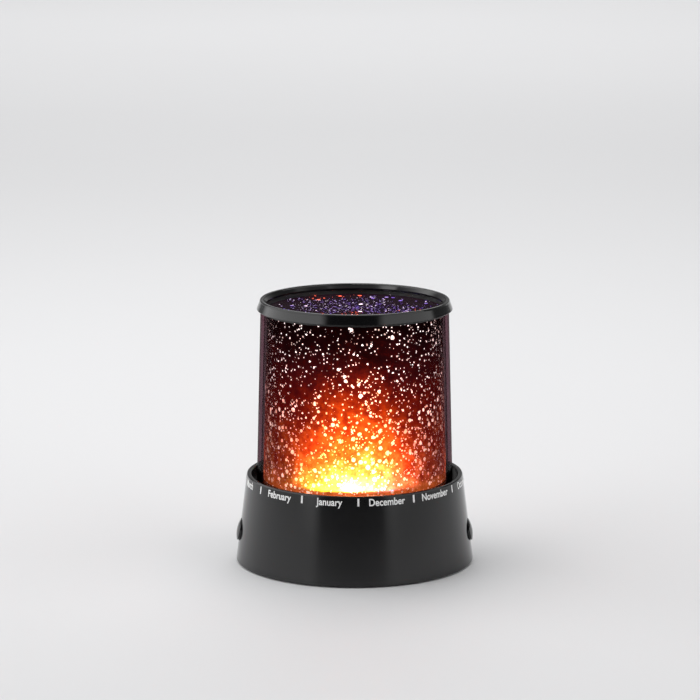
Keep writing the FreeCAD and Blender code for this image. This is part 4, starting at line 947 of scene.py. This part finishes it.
def dress_frame():
    """A finish for every CAD node."""
    dress(moulded("gloss_black", (0.0045, 0.0045, 0.005), 0.11), "base_housing", "cap_ring",
          *("button_cap_" + side for side in SIDES))
    dress(moulded("satin_black", (0.016, 0.016, 0.017), 0.5, grain=SATIN_GRAIN),
          "bottom_cover", "battery_door")
    dress(rubber("foot_rubber", (0.03, 0.03, 0.031)), "rubber_feet")
    dress(rubber("foam", (0.06, 0.06, 0.065)), "door_foam_pad")
    dress(cell_sleeve(), "battery_cell_1", "battery_cell_2", "battery_cell_3")
    dress(metal("nickel", (0.72, 0.68, 0.6), 0.26),
          "battery_contacts", "battery_springs", "dc_jack_pin", "led_leads")
    dress(moulded("switch_black", (0.02, 0.02, 0.02), 0.42),
          *("switch_body_" + side for side in SIDES), "dc_jack", "control_chip")
    dress(moulded("capacitor_sleeve", (0.02, 0.03, 0.09), 0.3), "board_capacitor")
    dress(moulded("cream_plastic", (0.7, 0.66, 0.55), 0.4, glow=0.1),
          *("switch_plunger_" + side for side in SIDES), "motor_end_cap")
    dress(laminate("green_board", (0.015, 0.14, 0.05), (0.03, 0.26, 0.09), GREEN_TRACK_PITCH),
          "switch_boards", "control_board")
    dress(laminate("white_board", (0.78, 0.78, 0.76), (0.66, 0.66, 0.62), WHITE_TRACK_PITCH), "led_board")
    dress(metal("motor_steel", (0.6, 0.6, 0.62), 0.3, brushed=0), "motor_can", "motor_shaft", "gear_pin")
    dress(metal("spring_steel", (0.5, 0.5, 0.52), 0.34), "gear_pin_clip")
    dress(wound_armature(), "motor_armature")
    dress(moulded("nylon", (0.78, 0.77, 0.72), 0.45, glow=0.25), "motor_pinion", "reduction_gear")
    dress(milky_plastic("natural_nylon", (0.86, 0.85, 0.8), 0.35), "drum_gear", "drum_retainer")
    dress(moulded("acetal_black", (0.02, 0.02, 0.021), 0.38), "led_turret")
    dress(metal("zinc", ZINC, ZINC_ROUGHNESS), "cover_screws", "board_screws", "deck_screws")
    dress(clear_plastic("clear_drum", gloss=0.2, haze=0.004), "star_drum")
    dress(clear_plastic("clear_window", gloss=0.05, haze=0.002), "top_window")
    dress(star_disc(), "star_film_disc")
    for lamp, colour, strength in LENSES:
        dress(lens(lamp, colour, strength), "led_" + lamp)
    dress(moulded("red_wire", (0.5, 0.02, 0.015), 0.42),
          "battery_wire_red", "motor_wire_red", "jack_wire_red")
    dress(moulded("black_wire", (0.02, 0.02, 0.02), 0.42),
          "battery_wire_black", "motor_wire_black", "jack_wire_black")
    dress(moulded("grey_wire", (0.3, 0.3, 0.31), 0.42), "led_wires", "switch_wires")


make_camera()
make_stage()
make_world()
make_lights()
bpy.context.scene.view_settings.view_transform = "Standard"

dress_frame()
make_sleeve(clear_sleeve())
make_film(star_film(), unseen_back("film_back"))
make_month_scale(white_print())
make_cover_screws(metal("screw_zinc", ZINC, ZINC_ROUGHNESS))
